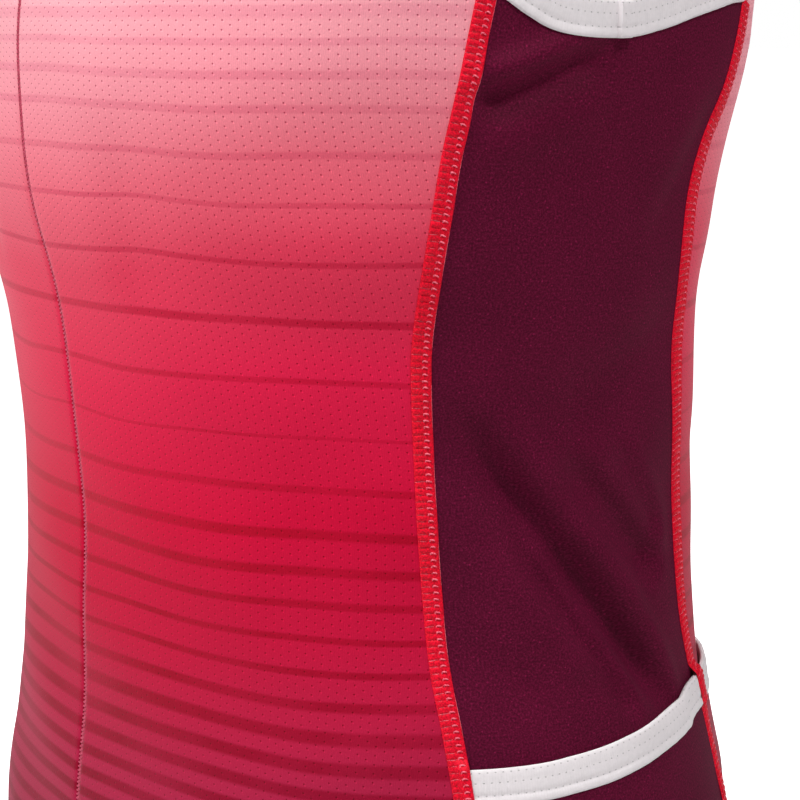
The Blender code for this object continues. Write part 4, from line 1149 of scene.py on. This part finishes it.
def flatlock(name, line, width, mirrored, rise, seed):
    """A flatlock seam as three pieces: a bed of cover threads, u from 0 at its front edge to 1, whose height is
    a rounded rib for each stitch and half a rib between, lower at both edges and pricked by the needle at
    u = 0.78; and two rows of lighter loops, straight ones in the grooves and slanted ones past the middle"""
    rng = np.random.default_rng(seed)
    length = line["run"][-1]
    stitches = int(length / STITCH)
    runs = np.arange(stitches * STITCH_POINTS + 1) / STITCH_POINTS * STITCH
    uneven = np.interp(runs, np.arange(stitches + 2) * STITCH, rng.uniform(0.75, 1.25, stitches + 2))
    u = np.concatenate([[0.0, 0.03], np.linspace(0.08, 0.92, 13), [0.97, 1.0]])
    phase = runs[:, None] / STITCH + 0.04 * np.sin(runs[:, None] * 900) + 0.32 * smoothstep((u - 0.5) / 0.4)
    rib = np.abs(np.sin(np.pi * phase)) ** 0.7
    half_rib = np.abs(np.sin(2 * np.pi * phase + 0.6 * u)) * smoothstep((0.6 - u) / 0.2)
    edge = smoothstep(u / 0.10) * smoothstep((1 - u) / 0.06)
    prick = np.exp(-((u - 0.78) / 0.055) ** 2) * (0.5 + 0.5 * np.cos(2 * np.pi * (phase - 0.5)))
    height = 0.00018 + edge * (0.00020 + 0.00036 * rib * uneven[:, None] + 0.00018 * half_rib) - 0.00022 * prick
    aside = (0.5 - u) * width * (1 + 0.03 * np.sin(runs[:, None] * 260) * (u > 0.5))
    rows, angles = beside(line, runs[:, None], aside)
    lift = rise(section("level", rows), angles, u)
    top = skin(rows, angles, height + lift, mirrored)
    bottom = skin(rows[:, ::-1][:, ::4], angles[:, ::-1][:, ::4], 0.00004 + lift[:, ::-1][:, ::4], mirrored)
    rings = np.concatenate([top, bottom], axis=1)
    count = rings.shape[1]
    uv = np.stack(np.broadcast_arrays(runs[:, None] * MILLIMETRE, np.arange(count + 1) * 0.3), axis=-1)
    item = add_piece(name, *carried(rings, False, uv), RED_THREAD)
    settle(item)

    def laid(start_run, across, out_share, radius, count_sides):
        """Threads through places given as a run and an across for each point"""
        rows, angles = beside(line, start_run, (0.5 - across) * width)
        lift = rise(section("level", rows), angles, across)
        centres = skin(rows, angles, out_share + lift, mirrored)
        above = skin(rows, angles, out_share + lift + 0.001, mirrored)
        return tubes(centres, unit(above - centres), radius, count_sides)

    at = np.arange(1, stitches)[:, None] * STITCH
    jitter = rng.normal(0, 1, (5, stitches - 1, 1))
    part = np.linspace(0, 1, 6)
    across = mix(0.02, 0.50 + 0.03 * jitter[0], part)
    bend = 0.00010 * np.sin(np.pi * part * 1.6 + jitter[1])
    out = mix(0.00020, 0.00052, np.sin(np.pi * np.clip(part, 0, 0.92)) ** 0.5)
    out = out + 0.00007 * np.clip(jitter[2], -1.5, 1)
    radius = np.broadcast_to(0.00009 + 0.00002 * np.sin(np.pi * part), across.shape)
    straight = laid(at + bend, across, out, radius, 5)
    part = np.linspace(0, 1, 7)
    across = mix(0.54 + 0.02 * jitter[3], 0.86, part)
    slant = -0.00045 * part ** 1.5 + 0.00018 * np.sin(np.pi * part) + 0.00005 * jitter[1]
    out = 0.00030 + 0.00042 * np.sin(np.pi * np.clip(part, 0.02, 0.98)) ** 0.6
    radius = np.broadcast_to(0.00011 + 0.00014 * np.sin(np.pi * part) ** 0.7, across.shape)
    slanted = laid(at + slant + 0.0002, across, out + 0 * across, radius, 6)
    part = np.linspace(0, 1, 4)
    across = mix(0.60, 0.53 + 0.01 * jitter[4], part)
    out = mix(0.00058, 0.00030, part)
    radius = np.broadcast_to(mix(0.00020, 0.00010, part), across.shape)
    leg = laid(at - 0.0009 * part + 0.0001, across, out + 0 * across, radius, 5)
    along = np.arange(0, stitches * 4 + 1) / 4 * STITCH
    across = (0.985 + 0.006 * np.sin(along * 2 * np.pi / STITCH))[None]
    edge_thread = laid(along[None], across, np.full(across.shape, 0.00020), np.full(across.shape, 0.00009), 5)
    add_threads(f"{name}_loops", (straight, slanted, leg, edge_thread), PINK_THREAD)


def make_flatlocks():
    front_levels = np.linspace(hem_level(FRONT_SEAM[0][1]) + 0.0005, FRONT_SEAM[-1][0], 700)
    back_levels = np.linspace(hem_level(BACK_SEAM[0][1]) + 0.0005, BACK_SEAM[-1][0], 700)
    shoulder = np.linspace(across_angle(NECK_HALF_WIDTH, RIDGE), ARMHOLE_FRONT[0][1], 200)
    lines = {
        "front": (line_on_body(row_of(front_levels), seam_angle("front", front_levels)),
                  lambda level, angle, u: pocket_rise(level, angle, smoothstep((u - 0.30) / 0.25))),
        "back": (line_on_body(row_of(back_levels), seam_angle("back", back_levels)),
                 lambda level, angle, u: pocket_rise(level, angle, 1.0)),
        "shoulder": (line_on_body(np.full(200, float(RIDGE)), shoulder), lambda level, angle, u: 0.0 * level),
    }
    for number, (place, (line, rise)) in enumerate(lines.items()):
        flatlock(f"flatlock_{place}_left", line, SEAM_WIDTHS[place], False, rise, 10 + number)
        flatlock(f"flatlock_{place}_right", line, SEAM_WIDTHS[place], True, rise, 20 + number)


# Needle rows: the coverstitch of the hem

NEEDLE_STITCH = 0.0028
NEEDLE_GAP = 0.0006


def needle_row(line, mirrored):
    """Stitches of one needle along a line: short threads that rise a little from the cloth in their middle"""
    length = line["run"][-1]
    count = int(length / NEEDLE_STITCH)
    start = (np.arange(count)[:, None] + 0.1) * NEEDLE_STITCH
    part = np.linspace(0, 1, 5)
    runs = start + part * (NEEDLE_STITCH - NEEDLE_GAP)
    rows, angles = beside(line, runs, 0.0)
    height = 0.00022 * np.sin(np.pi * np.clip(part, 0.05, 0.95))
    centres = skin(rows, angles, height, mirrored)
    above = skin(rows, angles, height + 0.001, mirrored)
    radius = np.broadcast_to(0.00016 * np.sin(np.pi * np.clip(part, 0.12, 0.88)) ** 0.4, runs.shape)
    return tubes(centres, unit(above - centres), radius, 5)


def add_threads(name, tube_sets, material):
    """One piece from many sets of tubes"""
    points, faces, start = [], {}, 0
    for tube_points, tube_faces in tube_sets:
        points.append(tube_points)
        for group in tube_faces:
            faces.setdefault(group.shape[1], []).append(group + start)
        start += len(tube_points)
    groups = [np.concatenate(group) for group in faces.values()]
    uvs = [np.zeros((*group.shape, 2)) for group in groups]
    return settle(add_piece(name, np.concatenate(points), groups, uvs, material))


def make_needle_rows():
    sets = []
    for height in (0.0160, 0.0195):
        for start, end in ((-89.2, -22.0), (-19.5, 34.0), (37.5, 90.0)):
            angles = np.linspace(start, end, 200)
            line = line_on_body(row_of(hem_level(angles) + height), angles)
            sets += [needle_row(line, mirrored) for mirrored in (False, True)]
    add_threads("hem_coverstitch", sets, RED_THREAD)


# Zip

def make_zip():
    """The tape behind the fronts, from the hem to the neck, and the coil: on each side a row of flattened loops
    that lie across the gap, those of one side between those of the other"""
    levels = np.linspace(hem_level(-90.0) + 0.002, RIDGE_LEVEL - NECK_DROP_FRONT - 0.0003, 240)
    rows = row_of(levels)
    across = np.array([0.0, 0.3, 0.6, 1.0])
    angles = across_angle(TAPE_HALF_WIDTH * across, rows[:, None])
    face = -np.broadcast_to(wall_of(levels, levels[0] - 0.002)[:, None], angles.shape) - SEAM_GAP
    outer = skin(rows[:, None], angles, face)
    inner = skin(rows[:, None], angles, face - TAPE_WALL)
    outer = np.concatenate([(outer * MIRROR)[:, :0:-1], outer], axis=1)
    inner = np.concatenate([(inner * MIRROR)[:, :0:-1], inner], axis=1)
    uv = np.stack(np.broadcast_arrays(outer[..., 0], outer[..., 2]), axis=-1) * MILLIMETRE
    lay("zip_tape", panel_shell(outer, inner, uv), "zip_tape", (2 * TAPE_HALF_WIDTH, 0.470))
    line = line_on_body(rows, np.full(rows.shape, -90.0))
    count = int((line["run"][-1] - 0.006) / TOOTH_PITCH)
    part = np.linspace(0, 1, 7)
    sets = []
    for side, shift in ((1.0, 0.0), (-1.0, 0.5)):
        at = ((np.arange(count) + shift + 0.5) * TOOTH_PITCH)[:, None] + 0.0 * part
        row, _ = beside(line, at, 0.0)
        points = body(row, np.full(row.shape, -90.0))
        by_row, by_angle = slopes(row, np.full(row.shape, -90.0))
        outward = unit(np.cross(by_angle, by_row))
        place = mix(-0.0006, 0.0019, part)
        out = -0.00120 + 0.00045 * np.sin(np.pi * part ** 0.8)
        centres = points + outward * (out + relief(points))[..., None]
        centres[..., 0] = side * place
        radius = np.broadcast_to(0.00040 + 0 * part, at.shape)
        sets.append(tubes(centres, outward, radius, 6))
    add_threads("zip_coil", sets, COIL)


def finish_metal():
    for name in ("zip_slider", "zip_pull"):
        solid = bpy.data.objects[name]
        solid.data.materials.clear()
        solid.data.materials.append(ENAMEL)


# Studio

# Soft round lights: name, place, width and power. All of them face one point inside the garment.
LIGHTS = (
    ("key", (1.30, 0.10, 1.52), 0.42, 26.5),
    ("front_light", (0.11, -1.28, 1.50), 0.8, 38.0),
    ("left_fill", (-0.75, -1.75, 0.45), 1.0, 10.0),
    ("right_edge", (1.30, 1.45, 0.55), 1.0, 4.0),
    ("rear", (-1.60, 0.90, 1.10), 1.3, 10.0),
)
LIGHT_AIM = (0.0, 0.0, -0.28)


def make_stage():
    """A pale floor below the garment, a white surround, five soft lights and the camera"""
    material, tree, shader = new_material("pale_painted_floor")
    place = add(tree, "TexCoord")
    cloud = add(tree, "TexNoise", {"Vector": place.outputs["Object"], "Scale": 2.0})
    tint = add(tree, "ValToRGB", (cloud,))
    set_ramp(tint, [(0.3, "#e9e9ea"), (0.7, "#efefef")])
    path = add(tree, "LightPath")
    glow = add(tree, "Math", (path.outputs["Is Camera Ray"], 1.0, 0.04), operation="MULTIPLY_ADD")
    feed(tree, shader, {"Base Color": tint, "Roughness": 0.9, "Emission Color": (1.0, 1.0, 1.0, 1.0),
                        "Emission Strength": glow})
    half, level = 60.0, cad_box[0][2] - 0.12
    corners = np.array([(-half, -half, level), (half, -half, level), (half, half, level), (-half, half, level)])
    mesh = bpy.data.meshes.new("floor")
    mesh.from_pydata(corners.tolist(), [], [(0, 1, 2, 3)])
    mesh.materials.append(material)
    floor = bpy.data.objects.new("floor", mesh)
    bpy.context.scene.collection.objects.link(floor)

    world = bpy.data.worlds.new("studio_white")
    bpy.context.scene.world = world
    world.use_nodes = True
    tree = world.node_tree
    tree.nodes.clear()
    lighting = add(tree, "Background", {"Color": (1.0, 0.985, 0.98, 1.0), "Strength": 0.10})
    seen = add(tree, "Background", {"Color": (1.0, 1.0, 1.0, 1.0), "Strength": 1.0})
    path = add(tree, "LightPath")
    surround = add(tree, "MixShader", (path.outputs["Is Camera Ray"], lighting, seen))
    add(tree, "OutputWorld", {"Surface": surround})

    for name, place, size, energy in LIGHTS:
        data = bpy.data.lights.new(name, "AREA")
        data.shape = "DISK"
        data.size = size
        data.energy = energy
        lamp = bpy.data.objects.new(name, data)
        lamp.location = place
        direction = Vector(LIGHT_AIM) - Vector(place)
        lamp.rotation_euler = direction.to_track_quat("-Z", "Y").to_euler()
        bpy.context.scene.collection.objects.link(lamp)

    data = bpy.data.cameras.new("camera")
    data.lens = CAMERA_LENS
    data.sensor_width = SENSOR_WIDTH
    data.clip_start = 0.05
    data.clip_end = 300.0
    camera = bpy.data.objects.new("camera", data)
    back = np.array([math.sin(CAMERA_AZIMUTH), -math.cos(CAMERA_AZIMUTH), 0.0])
    right = np.array([math.cos(CAMERA_AZIMUTH), math.sin(CAMERA_AZIMUTH), 0.0])
    camera.location = back * CAMERA_DISTANCE + right * CAMERA_ASIDE + (0.0, 0.0, CAMERA_HEIGHT)
    camera.rotation_euler = (math.pi / 2 - CAMERA_TILT, 0.0, CAMERA_AZIMUTH)
    bpy.context.scene.collection.objects.link(camera)
    bpy.context.scene.camera = camera
    bpy.context.scene.view_settings.view_transform = "Standard"


make_stage()
make_fronts()
make_sides()
make_back()
make_pockets()
make_armhole_bindings()
make_neck_binding()
make_pocket_bindings()
make_flatlocks()
make_needle_rows()
make_zip()
finish_metal()

bpy.context.view_layer.update()
